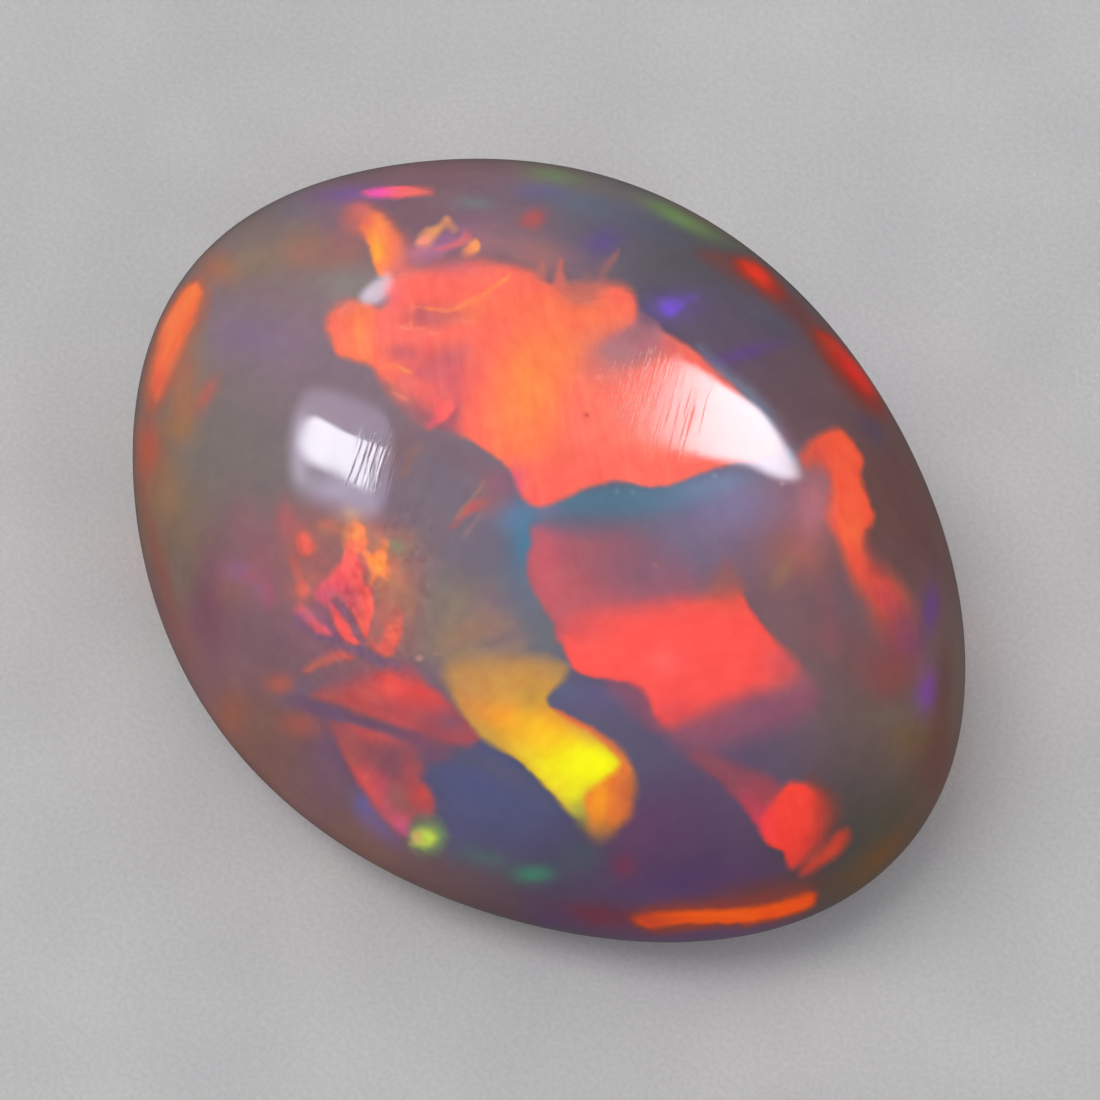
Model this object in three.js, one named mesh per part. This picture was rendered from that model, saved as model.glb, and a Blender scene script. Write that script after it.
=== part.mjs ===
// A high-domed oval opal cabochon, polished all over, lying on the flat of its back.
// Millimetres, +Z up. The origin is the middle of the flat base, +X is the long axis.
//
// The stone is one solid:
//   - an oval plan, slightly irregular because the stone was cut freehand,
//   - a high dome from the girdle to the crown,
//   - a low rounded back that curves in under the girdle to a flat base.
import * as THREE from "three";
import { mergeVertices } from "three/addons/utils/BufferGeometryUtils.js";

const HALF_LENGTH = 7.72; // half the oval's long axis, X
const HALF_WIDTH = 5.99; // half the oval's short axis, Y
const HEIGHT = 7.4; // base to crown
const GIRDLE_HEIGHT = 1.5; // the widest level, above the base
const DOME_FULLNESS = 2.3; // 2 is an ellipsoid, more has fuller shoulders
const BASE_SHARE = 0.7; // the flat base's size as a share of the oval
const BACK_ROUNDNESS = 2.0; // exponent of the curve from the girdle to the flat
// Freehand deviations of the oval: [cosine, sine] shares for 2, 3, 4 and 5 waves round it.
const PLAN_WAVES = [
  [-0.0001, -0.0039],
  [0.0071, -0.0039],
  [0.0115, 0.0056],
  [-0.0042, -0.003],
];

const AROUND = 96; // facets round the stone
const DOME_RINGS = 20;
const BACK_RINGS = 6;

const planShare = (angle) =>
  PLAN_WAVES.reduce(
    (sum, [c, s], i) =>
      sum + c * Math.cos((i + 2) * angle) + s * Math.sin((i + 2) * angle),
    1,
  );

// The profile in (share of the oval, height), from the edge of the flat base out to
// the girdle and up over the dome to the crown.
function profile() {
  const points = [];
  for (let i = 0; i <= BACK_RINGS; i++) {
    const s = (Math.PI / 2) * (1 - i / BACK_RINGS);
    points.push(
      new THREE.Vector2(
        BASE_SHARE +
          (1 - BASE_SHARE) * Math.pow(Math.cos(s), 2 / BACK_ROUNDNESS),
        GIRDLE_HEIGHT * (1 - Math.pow(Math.sin(s), 2 / BACK_ROUNDNESS)),
      ),
    );
  }
  for (let i = 1; i <= DOME_RINGS; i++) {
    const s = (Math.PI / 2) * (1 - i / DOME_RINGS);
    points.push(
      new THREE.Vector2(
        i === DOME_RINGS ? 0 : Math.sin(s),
        GIRDLE_HEIGHT +
          (HEIGHT - GIRDLE_HEIGHT) * Math.pow(Math.cos(s), 2 / DOME_FULLNESS),
      ),
    );
  }
  points[0].y = 0;
  return points;
}

// The turned form, one unit in radius, is stretched to the oval.
function skin() {
  const g = new THREE.LatheGeometry(profile(), AROUND);
  g.rotateX(Math.PI / 2); // the lathe turns about Y, the stone stands along Z
  g.deleteAttribute("uv");
  g.deleteAttribute("normal");
  const p = g.attributes.position;
  for (let i = 0; i < p.count; i++) {
    const x = p.getX(i),
      y = p.getY(i),
      share = planShare(Math.atan2(y, x));
    p.setXYZ(i, HALF_LENGTH * share * x, HALF_WIDTH * share * y, p.getZ(i));
  }
  return g;
}

// The flat base: a triangle in the middle, and a fan from each of its corners to the rim.
function base(rim) {
  const corners = [90, 210, 330].map((deg) => {
    const a = THREE.MathUtils.degToRad(deg);
    return new THREE.Vector3(2.4 * Math.cos(a), 2.4 * Math.sin(a), 0);
  });
  const near = (v) => {
    let best = 0;
    corners.forEach((c, i) => {
      if (c.distanceTo(v) < corners[best].distanceTo(v)) best = i;
    });
    return best;
  };
  const triangles = [[corners[0], corners[2], corners[1]]];
  for (let i = 0; i < rim.length; i++) {
    const a = rim[i],
      b = rim[(i + 1) % rim.length],
      k = near(a),
      m = near(b);
    triangles.push([corners[k], b, a]);
    if (k !== m) triangles.push([corners[k], corners[m], b]);
  }
  const g = new THREE.BufferGeometry();
  g.setAttribute(
    "position",
    new THREE.Float32BufferAttribute(
      triangles.flatMap((t) => t.flatMap((v) => [v.x, v.y, v.z])),
      3,
    ),
  );
  return g;
}

function stoneGeometry() {
  const side = skin();
  // The lathe's first ring is the rim of the flat base.
  const rim = [];
  const rings = profile().length;
  const p = side.attributes.position;
  for (let i = 0; i < AROUND; i++)
    rim.push(new THREE.Vector3(p.getX(i * rings), p.getY(i * rings), 0));
  // Counter-clockwise seen from above, whichever way the lathe went.
  const turn = rim.reduce((sum, v, i) => {
    const w = rim[(i + 1) % rim.length];
    return sum + v.x * w.y - w.x * v.y;
  }, 0);
  if (turn < 0) rim.reverse();

  const open = side.toNonIndexed().attributes.position.array;
  const flat = base(rim).attributes.position.array;
  const all = new Float32Array(open.length + flat.length);
  all.set(open);
  all.set(flat, open.length);
  const g = new THREE.BufferGeometry();
  g.setAttribute("position", new THREE.BufferAttribute(all, 3));

  // Centre the plan on the origin and stand it on Z = 0.
  g.computeBoundingBox();
  const b = g.boundingBox;
  g.translate(
    -(b.min.x + b.max.x) / 2,
    -(b.min.y + b.max.y) / 2,
    -b.min.z,
  );

  const merged = mergeVertices(g, 1e-3);
  // Drop the slivers that the crown's shared point leaves.
  const index = merged.index.array,
    kept = [];
  for (let i = 0; i < index.length; i += 3) {
    const [a, c, d] = [index[i], index[i + 1], index[i + 2]];
    if (a !== c && c !== d && d !== a) kept.push(a, c, d);
  }
  merged.setIndex(kept);
  merged.computeVertexNormals();
  return merged;
}

const opal = new THREE.Mesh(
  stoneGeometry(),
  new THREE.MeshStandardMaterial({
    color: new THREE.Color(0.42, 0.37, 0.4),
    roughness: 0.05,
    metalness: 0,
  }),
);
opal.name = "opal_cabochon";

const group = new THREE.Group();
group.add(opal);

export default group;
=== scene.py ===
"""Looks for the Ethiopian opal cabochon: a polished, see-through stone over its play of colour.

The skin is the same egg-shaped dome as the construction model, made finer and of clear
material. Under it, at about half a millimetre, lies the fire: one closed body whose domains
stand a little higher than the milky ground between them, so they shift against the skin when
the stone is turned. The domains are outlines drawn on a sheet that faces the main
camera (one sheet unit is 1/1100 of the frame) and are carried down through the refracting
skin; the sides that this view doesn't reach are filled with domains of the same kind from a
fixed seed.
"""
import math
import time

import bpy
import numpy as np
from mathutils import Matrix, Vector
from mathutils.geometry import delaunay_2d_cdt


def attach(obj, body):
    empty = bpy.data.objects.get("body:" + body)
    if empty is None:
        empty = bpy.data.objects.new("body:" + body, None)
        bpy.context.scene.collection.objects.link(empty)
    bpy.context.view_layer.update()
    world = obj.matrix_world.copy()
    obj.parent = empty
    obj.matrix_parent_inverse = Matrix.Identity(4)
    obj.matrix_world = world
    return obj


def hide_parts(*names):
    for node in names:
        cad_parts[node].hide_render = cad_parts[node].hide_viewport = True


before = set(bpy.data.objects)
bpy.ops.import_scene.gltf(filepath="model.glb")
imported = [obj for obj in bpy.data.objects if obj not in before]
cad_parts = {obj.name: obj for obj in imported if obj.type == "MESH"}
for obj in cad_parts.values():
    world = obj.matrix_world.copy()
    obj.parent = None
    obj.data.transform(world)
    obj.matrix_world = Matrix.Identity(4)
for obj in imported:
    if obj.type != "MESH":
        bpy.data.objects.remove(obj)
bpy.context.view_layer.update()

BEGAN = time.time()
MM = 0.001
PIECE_TRIANGLES = 196000

# ---------------------------------------------------------------- the stone's form, in mm
HALF_LENGTH, HALF_WIDTH, HEIGHT = 7.72, 5.99, 7.4
GIRDLE_HEIGHT, DOME_FULLNESS, BASE_SHARE = 1.5, 2.3, 0.7
PLAN_WAVES = [(-0.0001, -0.0039), (0.0071, -0.0039), (0.0115, 0.0056), (-0.0042, -0.003)]
DOME = HEIGHT - GIRDLE_HEIGHT
OPAL_IOR = 1.44
FIRE_DEPTH = 0.58      # how far the milky ground lies under the skin
FIRE_LIFT = 0.07       # how far a bright domain stands above the ground
BASE_DEPTH = 0.16      # the same under the back and the flat base


def share(c, s):
    """How far the outline stands out at the angle whose cosine and sine are given."""
    z = c + 1j * s
    power, out = z * z, np.ones_like(c)
    for a, b in PLAN_WAVES:
        out = out + a * power.real + b * power.imag
        power = power * z
    return out


def rho_of(x, y):
    cx, cy = x / HALF_LENGTH, y / HALF_WIDTH
    m = np.maximum(np.hypot(cx, cy), 1e-12)
    return m / share(cx / m, cy / m)


def outside(p):
    """Below 0 inside the stone, above 0 outside."""
    r, z = rho_of(p[:, 0], p[:, 1]), p[:, 2]
    up = np.maximum(z - GIRDLE_HEIGHT, 0.0) / DOME
    dome = np.sqrt(r * r + up**DOME_FULLNESS) - 1.0
    rim = np.maximum(r - BASE_SHARE, 0.0) / (1.0 - BASE_SHARE)
    back = (np.sqrt(rim * rim + (1.0 - z / GIRDLE_HEIGHT) ** 2) - 1.0) * (1 - BASE_SHARE)
    return np.where(z >= GIRDLE_HEIGHT, dome, back)


def normals_at(p):
    h = 1e-4
    g = np.empty_like(p)
    for i in range(3):
        d = np.zeros(3)
        d[i] = h
        g[:, i] = outside(p + d) - outside(p - d)
    return g / np.maximum(np.linalg.norm(g, axis=1), 1e-15)[:, None]


# The profile from the crown over the girdle and the back to the middle of the base, by its length.
_s = np.linspace(0.0, math.pi / 2, 1200)
_rho = np.concatenate([
    np.sin(_s),
    (BASE_SHARE + (1 - BASE_SHARE) * np.cos(_s))[1:],
    np.linspace(BASE_SHARE, 0.0, 200)[1:],
])
_high = np.concatenate([
    GIRDLE_HEIGHT + DOME * np.cos(_s) ** (2 / DOME_FULLNESS),
    (GIRDLE_HEIGHT * (1 - np.sin(_s)))[1:],
    np.zeros(199),
])
_mean = (HALF_LENGTH + HALF_WIDTH) / 2
_run = np.concatenate([[0.0], np.cumsum(np.hypot(np.diff(_rho * _mean), np.diff(_high)))])
RUN_GIRDLE, RUN_RIM, RUN_END = _run[1199], _run[2398], _run[-1]


def skin(run, angle):
    """Points of the skin, run mm down the profile from the crown."""
    rho, z = np.interp(run, _run, _rho), np.interp(run, _run, _high)
    c, s = np.cos(angle), np.sin(angle)
    k = share(c, s) * rho
    return np.stack([HALF_LENGTH * k * c, HALF_WIDTH * k * s, z], 1)


def skin_normals(run, angle, p):
    """The skin's normals; those of the flat base are straight down."""
    n = normals_at(p)
    flat = run >= RUN_RIM - 1e-3
    n[flat] = (0, 0, -1)
    top = run < 1e-6
    n[top] = (0, 0, 1)
    return n


_ring = np.arange(96) * 2 * math.pi / 96
_k = share(np.cos(_ring), np.sin(_ring))
_x, _y = HALF_LENGTH * _k * np.cos(_ring), HALF_WIDTH * _k * np.sin(_ring)
CENTRING = np.array([-(_x.max() + _x.min()) / 2, -(_y.max() + _y.min()) / 2, 0.0])


def to_metres(p):
    return (p + CENTRING) * MM


# ---------------------------------------------------------------- the camera
AZIMUTH, ELEVATION, DISTANCE, FOCAL = math.radians(44.14), math.radians(60.0), 110.0, 6765.0
BACK = np.array([math.sin(AZIMUTH) * math.cos(ELEVATION), -math.cos(AZIMUTH) * math.cos(ELEVATION), math.sin(ELEVATION)])
RIGHT = np.array([math.cos(AZIMUTH), math.sin(AZIMUTH), 0.0])
UP = np.cross(BACK, RIGHT)
EYE = np.array([0, 0, 3.7]) + BACK * DISTANCE + RIGHT * 0.067 - UP * 0.862

camera_data = bpy.data.cameras.new("main_camera")
camera_data.sensor_width = 36.0
camera_data.lens = FOCAL * 36.0 / 1100.0
camera_data.clip_start, camera_data.clip_end = 0.005, 10.0
camera_data.dof.use_dof = False
camera = bpy.data.objects.new("main_camera", camera_data)
bpy.context.scene.collection.objects.link(camera)
turn = Matrix((RIGHT, UP, BACK)).transposed().to_4x4()
camera.matrix_world = Matrix.Translation(Vector(to_metres(EYE[None])[0])) @ turn
bpy.context.scene.camera = camera


def ray_of(u, v):
    d = (u[:, None] - 550.0) / FOCAL * RIGHT - (v[:, None] - 550.0) / FOCAL * UP - BACK
    return d / np.linalg.norm(d, axis=1)[:, None]


def sheet_of(p):
    d = p - EYE
    far = -(d @ BACK)
    return 550.0 + FOCAL * (d @ RIGHT) / far, 550.0 - FOCAL * (d @ UP) / far


def met(d, t, steps=9):
    """How far along the rays from the eye the skin is met, from a near guess, by Newton's steps."""
    for _ in range(steps):
        p = EYE + d * t[:, None]
        f = outside(p)
        slope = (outside(p + d * 1e-3) - f) / 1e-3
        slope = np.where(np.abs(slope) < 0.012, -0.012, slope)
        t = t - np.clip(f / slope, -0.6, 0.6)
    return t


def bent(d, n, ratio):
    """Rays d after they pass a surface with normal n."""
    cosine = np.clip(-(d * n).sum(1), 0.0, 1.0)
    under = np.sqrt(np.maximum(1 - ratio**2 * (1 - cosine**2), 0.0))
    return d * ratio + n * (ratio * cosine - under)[:, None], cosine, under


def seen_at(q):
    """Where on the sheet the points q inside the stone are seen through the skin, and how squarely."""
    aim = q.copy()
    d = aim - EYE
    d /= np.linalg.norm(d, axis=1)[:, None]
    near, far = np.full(len(q), 90.0), np.linalg.norm(q - EYE, axis=1)
    for _ in range(22):
        half = (near + far) / 2
        out = outside(EYE + d * half[:, None]) > 0
        near, far = np.where(out, half, near), np.where(out, far, half)
    t = (near + far) / 2
    for turn_ in range(9):
        d = aim - EYE
        d /= np.linalg.norm(d, axis=1)[:, None]
        if turn_:
            t = met(d, t, 4)
        s = EYE + d * t[:, None]
        n = normals_at(s)
        r, cosine, under = bent(d, n, 1 / OPAL_IOR)
        run = np.maximum(((q - s) * r).sum(1), 0.0)
        e = q - s - r * run[:, None]
        across = np.cross(n, d)
        across /= np.maximum(np.linalg.norm(across, axis=1), 1e-9)[:, None]
        level = (e * across).sum(1)[:, None] * across
        gain = np.clip(cosine / np.maximum(under, 0.3), 0.02, 1.0)[:, None]
        aim = aim + level + (e - level) * gain
    u, v = sheet_of(aim)
    good = (np.abs(outside(s)) < 2e-3) & (np.linalg.norm(e, axis=1) < 0.12)
    return u, v, np.where(good, cosine, 0.0)


def mirrored(u, v):
    """Skin points seen at the sheet places, and where the skin there mirrors the room from."""
    u, v = np.array(u, float), np.array(v, float)
    d = ray_of(u, v)
    far, low = np.full(len(u), 110.0), np.full(len(u), 9.0)
    for x in np.linspace(99, 116, 120):
        f = outside(EYE + d * x)
        better = f < low
        low, far = np.where(better, f, low), np.where(better, x, far)
    near = np.full(len(u), 96.0)
    for _ in range(30):
        mid = (near + far) / 2
        clear = outside(EYE + d * mid[:, None]) > 0
        near, far = np.where(clear, mid, near), np.where(clear, far, mid)
    s = EYE + d * ((near + far) / 2)[:, None]
    n = normals_at(s)
    return s, d - 2 * (d * n).sum(1)[:, None] * n


# ---------------------------------------------------------------- helpers for drawing
def smooth(t):
    t = np.clip(t, 0.0, 1.0)
    return t * t * (3 - 2 * t)


def hashed(i, j, k, seed):
    h = (i * 374761393 + j * 668265263 + k * 1274126177 + seed * 2246822519) & 0xFFFFFFFF
    h = ((h ^ (h >> 13)) * 1274126177) & 0xFFFFFFFF
    h = h ^ (h >> 16)
    return (h & 0xFFFFFF) / float(0xFFFFFF)


def noise(p, size, seed):
    """Smooth value noise from 0 to 1, with features of the given size."""
    q = p / size
    i = np.floor(q).astype(np.int64)
    f = q - i
    f = f * f * (3 - 2 * f)
    out = 0.0
    for a in (0, 1):
        for b in (0, 1):
            for c in (0, 1):
                w = (f[:, 0] if a else 1 - f[:, 0]) * (f[:, 1] if b else 1 - f[:, 1]) * (f[:, 2] if c else 1 - f[:, 2])
                out = out + w * hashed(i[:, 0] + a, i[:, 1] + b, i[:, 2] + c, seed)
    return out


def rounded(line, steps=4):
    """A closed outline with its corners eased, as Catmull-Rom arcs through its points (x, y, softness)."""
    a = np.array(line, float)
    before, here, after, beyond = np.roll(a, 1, 0), a, np.roll(a, -1, 0), np.roll(a, -2, 0)
    out = []
    for k in range(steps):
        t = k / steps
        out.append(0.5 * (2 * here + (after - before) * t + (2 * before - 5 * here + 4 * after - beyond) * t * t
                          + (3 * here - before - 3 * after + beyond) * t**3))
    out = np.stack(out, 1).reshape(-1, 3)
    out[:, 2] = np.maximum(out[:, 2], 1.0)
    return out


def within(u, v, line):
    """From 0 outside the outline to 1 inside it, easing over each edge's own softness."""
    a = line
    b = np.roll(a, -1, 0)
    most = a[:, 2].max() * 1.05
    box = (u > a[:, 0].min() - most) & (u < a[:, 0].max() + most) & (v > a[:, 1].min() - most) & (v < a[:, 1].max() + most)
    out = np.zeros(len(u))
    at = np.nonzero(box)[0]
    for start in range(0, len(at), 20000):
        part = at[start:start + 20000]
        x, y = u[part, None], v[part, None]
        dx, dy = (b - a)[:, 0], (b - a)[:, 1]
        t = np.clip(((x - a[:, 0]) * dx + (y - a[:, 1]) * dy) / np.maximum(dx * dx + dy * dy, 1e-9), 0, 1)
        away = np.hypot(x - a[:, 0] - t * dx, y - a[:, 1] - t * dy)
        soft = a[:, 2] + t * (b - a)[:, 2]
        near = (away / soft).min(1)
        cross = ((a[:, 1] > y) != (b[:, 1] > y)) & (x < (b[:, 0] - a[:, 0]) * (y - a[:, 1]) / np.where(dy == 0, 1e-9, dy) + a[:, 0])
        inside = cross.sum(1) % 2 == 1
        out[part] = smooth(0.5 + 0.5 * np.where(inside, near, -near))
    return out


def spot(u, v, x, y, rx, ry, lean):
    c, s = math.cos(math.radians(lean)), math.sin(math.radians(lean))
    a, b = (u - x) * c + (v - y) * s, -(u - x) * s + (v - y) * c
    return np.exp(-0.5 * ((a / rx) ** 2 + (b / ry) ** 2))


def blend(base, colour, amount):
    return base + (np.array(colour, float) - base) * amount[:, None]


# ---------------------------------------------------------------- the milky ground, with painted shade
# Broad zones of the body colour with painted shade: lighter on the upper left, where the light falls, and darker
# towards the right and the bottom. Columns: x, y, reach, colour.
BODY_TONE_AND_SHADE = [
    (300, 340, 70, (142, 120, 130)),   # left shoulder, mauve grey
    (210, 440, 70, (128, 118, 113)),   # left flank, warm grey
    (250, 630, 65, (140, 105, 112)),   # lower left, rose grey
    (195, 620, 35, (130, 88, 100)),
    (165, 520, 35, (138, 112, 90)),    # left rim, ochre
    (270, 755, 55, (134, 93, 82)),     # lower left rim, brown
    (370, 850, 40, (130, 93, 84)),
    (290, 245, 55, (132, 115, 108)),   # upper left rim
    (400, 185, 55, (134, 103, 112)),   # top rim, mauve grey
    (500, 230, 50, (138, 110, 120)),
    (600, 215, 60, (112, 103, 116)),   # top right, slate
    (700, 270, 50, (92, 90, 94)),
    (725, 335, 45, (106, 90, 112)),
    (800, 380, 55, (110, 86, 92)),     # right shoulder, plum brown
    (900, 500, 60, (112, 77, 73)),     # right rim, brown
    (780, 510, 45, (160, 114, 128)),   # rose haze beside the bright light
    (715, 515, 45, (124, 112, 140)),
    (600, 520, 45, (112, 104, 122)),
    (800, 600, 65, (127, 95, 100)),
    (870, 720, 70, (119, 97, 88)),     # lower right, olive grey
    (860, 830, 60, (76, 72, 68)),
    (770, 750, 55, (104, 88, 114)),    # under the centre, blue slate
    (630, 735, 50, (98, 94, 118)),
    (690, 850, 70, (94, 70, 102)),     # bottom, purple
    (560, 900, 45, (84, 70, 92)),
    (500, 800, 60, (88, 92, 128)),     # blue slate pool
    (440, 880, 40, (112, 82, 78)),
    (500, 908, 28, (96, 70, 72)),
    (450, 460, 70, (130, 114, 124)),
    (440, 560, 60, (116, 108, 124)),
    (515, 600, 50, (112, 110, 124)),
    (350, 660, 55, (132, 98, 112)),
    (330, 760, 35, (122, 94, 116)),
]
# Soft tints over it: x, y, reach along, reach across, lean, colour, amount.
TINTS = [
    (245, 335, 45, 16, 8, (136, 112, 150), 0.5),
    (345, 196, 26, 8, -4, (128, 92, 170), 0.8),
    (310, 215, 26, 10, 10, (108, 108, 150), 0.4),
    (219, 268, 14, 10, 20, (188, 112, 84), 0.7),
    (255, 262, 30, 12, -12, (150, 128, 96), 0.5),
    (318, 236, 16, 20, 0, (152, 126, 98), 0.6),
    (300, 252, 14, 12, 0, (172, 116, 98), 0.6),
    (345, 240, 18, 22, 0, (170, 108, 106), 0.75),
    (336, 262, 22, 9, 0, (172, 116, 104), 0.6),
    (350, 282, 26, 13, 0, (146, 142, 134), 0.75),
    (380, 302, 9, 12, 0, (168, 126, 136), 0.8),
    (330, 222, 14, 12, 0, (128, 106, 128), 0.5),
    (475, 203, 14, 5, 0, (120, 150, 145), 0.5),
    (450, 166, 90, 9, 0, (136, 98, 102), 0.5),
    (585, 186, 46, 9, 24, (134, 106, 96), 0.7),
    (556, 176, 22, 6, 10, (120, 146, 98), 0.85),
    (590, 203, 34, 12, 10, (100, 120, 140), 0.6),
    (602, 243, 14, 9, -20, (106, 84, 168), 0.6),
    (540, 192, 20, 6, 0, (110, 108, 160), 0.5),
    (535, 217, 8, 6, -25, (190, 92, 92), 0.8),
    (524, 223, 5, 4, 0, (172, 96, 100), 0.6),
    (480, 243, 15, 8, 6, (186, 120, 126), 0.7),
    (514, 244, 26, 9, 8, (156, 116, 124), 0.6),
    (542, 259, 24, 12, 14, (178, 118, 114), 0.85),
    (580, 262, 22, 10, 0, (134, 108, 124), 0.5),
    (445, 238, 26, 9, -25, (170, 112, 156), 0.55),
    (683, 219, 31, 6, 27, (116, 148, 84), 0.95), (676, 216, 16, 4.5, 24, (124, 160, 92), 0.7), (700, 216, 50, 3.5, 31, (140, 108, 86), 0.5),
    (650, 225, 26, 10, 20, (84, 96, 122), 0.5),
    (668, 308, 26, 13, -10, (112, 88, 176), 0.6),
    (745, 353, 28, 5, -18, (108, 74, 150), 0.7),
    (772, 322, 20, 10, 30, (78, 88, 104), 0.5),
    (872, 428, 14, 7, 60, (92, 80, 108), 0.7),
        (590, 500, 46, 9, -8, (86, 126, 146), 0.9),
    (650, 500, 50, 11, -8, (84, 122, 144), 0.85),
    (715, 484, 34, 9, -14, (118, 146, 172), 0.75),
    (735, 505, 30, 18, 0, (138, 132, 172), 0.6),
    (540, 508, 14, 7, 0, (134, 128, 164), 0.8),
    (524, 540, 9, 34, 2, (72, 130, 160), 0.9),
    (513, 516, 12, 16, 0, (104, 136, 172), 0.7),
    (530, 606, 10, 22, 25, (100, 122, 134), 0.6),
    (548, 636, 14, 14, 0, (116, 126, 120), 0.5),
    (800, 552, 22, 20, 0, (172, 100, 86), 0.75),
    (782, 572, 13, 5, -55, (160, 120, 92), 0.8),
    (815, 504, 12, 27, 10, (206, 124, 134), 0.8),
    (828, 636, 16, 12, 0, (150, 90, 92), 0.6),
    (850, 615, 18, 34, 0, (118, 92, 104), 0.4),
    (905, 640, 13, 20, 0, (148, 72, 112), 0.75),
    (931, 608, 6, 18, 5, (114, 68, 142), 0.9),
    (929, 692, 9, 17, 8, (132, 74, 172), 1.0),
    (862, 655, 14, 20, 0, (140, 84, 86), 0.5),
    (890, 668, 22, 16, 0, (148, 84, 84), 0.7),
    (888, 716, 22, 8, -8, (122, 108, 96), 0.5),
    (922, 742, 22, 16, 20, (124, 98, 58), 0.7),
    (944, 700, 8, 46, 4, (104, 70, 60), 0.8),
    (938, 770, 18, 34, 20, (108, 66, 60), 0.85),
    (888, 822, 36, 14, -50, (84, 80, 60), 0.6),
    (878, 858, 34, 9, -42, (112, 70, 36), 0.85),
    (846, 880, 22, 8, -30, (84, 76, 52), 0.6),
    (700, 885, 60, 16, -4, (90, 62, 108), 0.6),
    (640, 828, 26, 20, 0, (112, 70, 104), 0.6),
    (624, 866, 9, 9, 0, (140, 60, 84), 0.7),
    (600, 916, 34, 9, 6, (118, 48, 64), 0.85),
    (552, 918, 20, 9, 10, (82, 60, 96), 0.6),
    (770, 890, 44, 9, -8, (122, 60, 44), 0.6),
    (480, 856, 22, 7, 14, (78, 118, 104), 0.6),
    (534, 874, 15, 6, -4, (66, 142, 106), 0.9),
    (580, 856, 16, 12, 0, (84, 104, 108), 0.6),
    (592, 696, 30, 12, 10, (106, 93, 140), 0.5),
    (564, 692, 12, 9, 0, (100, 110, 136), 0.6),
    (476, 778, 30, 26, 0, (92, 96, 144), 0.5),
    (366, 805, 9, 12, -22, (110, 108, 178), 0.8),
    (383, 829, 18, 8, 40, (126, 100, 152), 0.75),
    (330, 716, 34, 5, 18, (112, 92, 134), 0.6),
    (296, 690, 16, 10, 0, (122, 106, 134), 0.6),
    (302, 726, 16, 9, 0, (184, 106, 82), 0.7),
    (232, 712, 15, 15, 0, (160, 98, 80), 0.7),
    (278, 684, 9, 6, 0, (190, 100, 86), 0.8),
    (330, 745, 14, 24, -20, (124, 92, 130), 0.4),
    (238, 572, 12, 9, 0, (162, 108, 156), 0.75),
    (266, 588, 6, 12, -15, (190, 88, 116), 0.75),
    (262, 545, 26, 26, 0, (162, 106, 114), 0.55),
    (284, 520, 6, 14, 0, (196, 100, 110), 0.7),
    (240, 520, 12, 20, 0, (160, 104, 112), 0.45),
    (204, 608, 14, 40, 5, (132, 78, 96), 0.5),
    (232, 588, 12, 14, 0, (156, 104, 92), 0.5),
    (182, 580, 12, 30, 5, (134, 122, 98), 0.5),
    (148, 452, 11, 27, 0, (212, 92, 66), 0.9),
    (165, 488, 13, 24, 0, (158, 120, 84), 0.7),
    (158, 560, 6, 60, -14, (148, 86, 72), 0.75),
    (184, 640, 8, 40, -28, (142, 92, 84), 0.5),
    (184, 402, 10, 26, 4, (176, 120, 80), 0.75),
    (176, 428, 12, 10, 0, (176, 124, 78), 0.6),
    (204, 395, 5, 14, 34, (190, 108, 94), 0.55),
    (196, 340, 10, 30, 8, (150, 126, 104), 0.6),
    (340, 700, 20, 10, 0, (140, 92, 104), 0.4),
    (410, 560, 26, 34, 10, (156, 116, 110), 0.35),
    (398, 542, 14, 8, -10, (146, 142, 112), 0.5),
    (404, 600, 14, 34, 20, (166, 118, 106), 0.55),
    (440, 395, 30, 16, 25, (168, 104, 108), 0.4),
    (400, 450, 26, 12, -50, (136, 96, 96), 0.4),
    (480, 470, 44, 8, 34, (126, 92, 104), 0.35),
    (440, 612, 22, 26, 0, (138, 130, 112), 0.55),
    (470, 622, 50, 20, -20, (152, 124, 108), 0.6),
    (450, 645, 24, 10, -10, (150, 132, 100), 0.5),
    (500, 486, 12, 12, 0, (150, 84, 104), 0.5),
    (518, 596, 14, 30, -8, (102, 110, 132), 0.7),
    (455, 832, 22, 18, 0, (90, 92, 134), 0.6), (488, 766, 48, 8, 24, (98, 96, 112), 0.6),
]

# ---------------------------------------------------------------- the domains that the main view shows
# Each: name, outline of (x, y) or (x, y, softness), softness where none is given, colour,
# spots inside (x, y, reach along, reach across, lean, colour, amount), opacity, lift, grain lean.
DOMAINS = []


def domain(name, line, soft, colour, spots=(), opacity=1.0, lift=1.0, lean=70, grain=1.0):
    full = [(p[0], p[1], p[2] if len(p) > 2 else soft) for p in line]
    DOMAINS.append(dict(name=name, line=rounded(full), colour=colour, spots=spots, opacity=opacity,
                        lift=lift, lean=lean, grain=grain))


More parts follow.
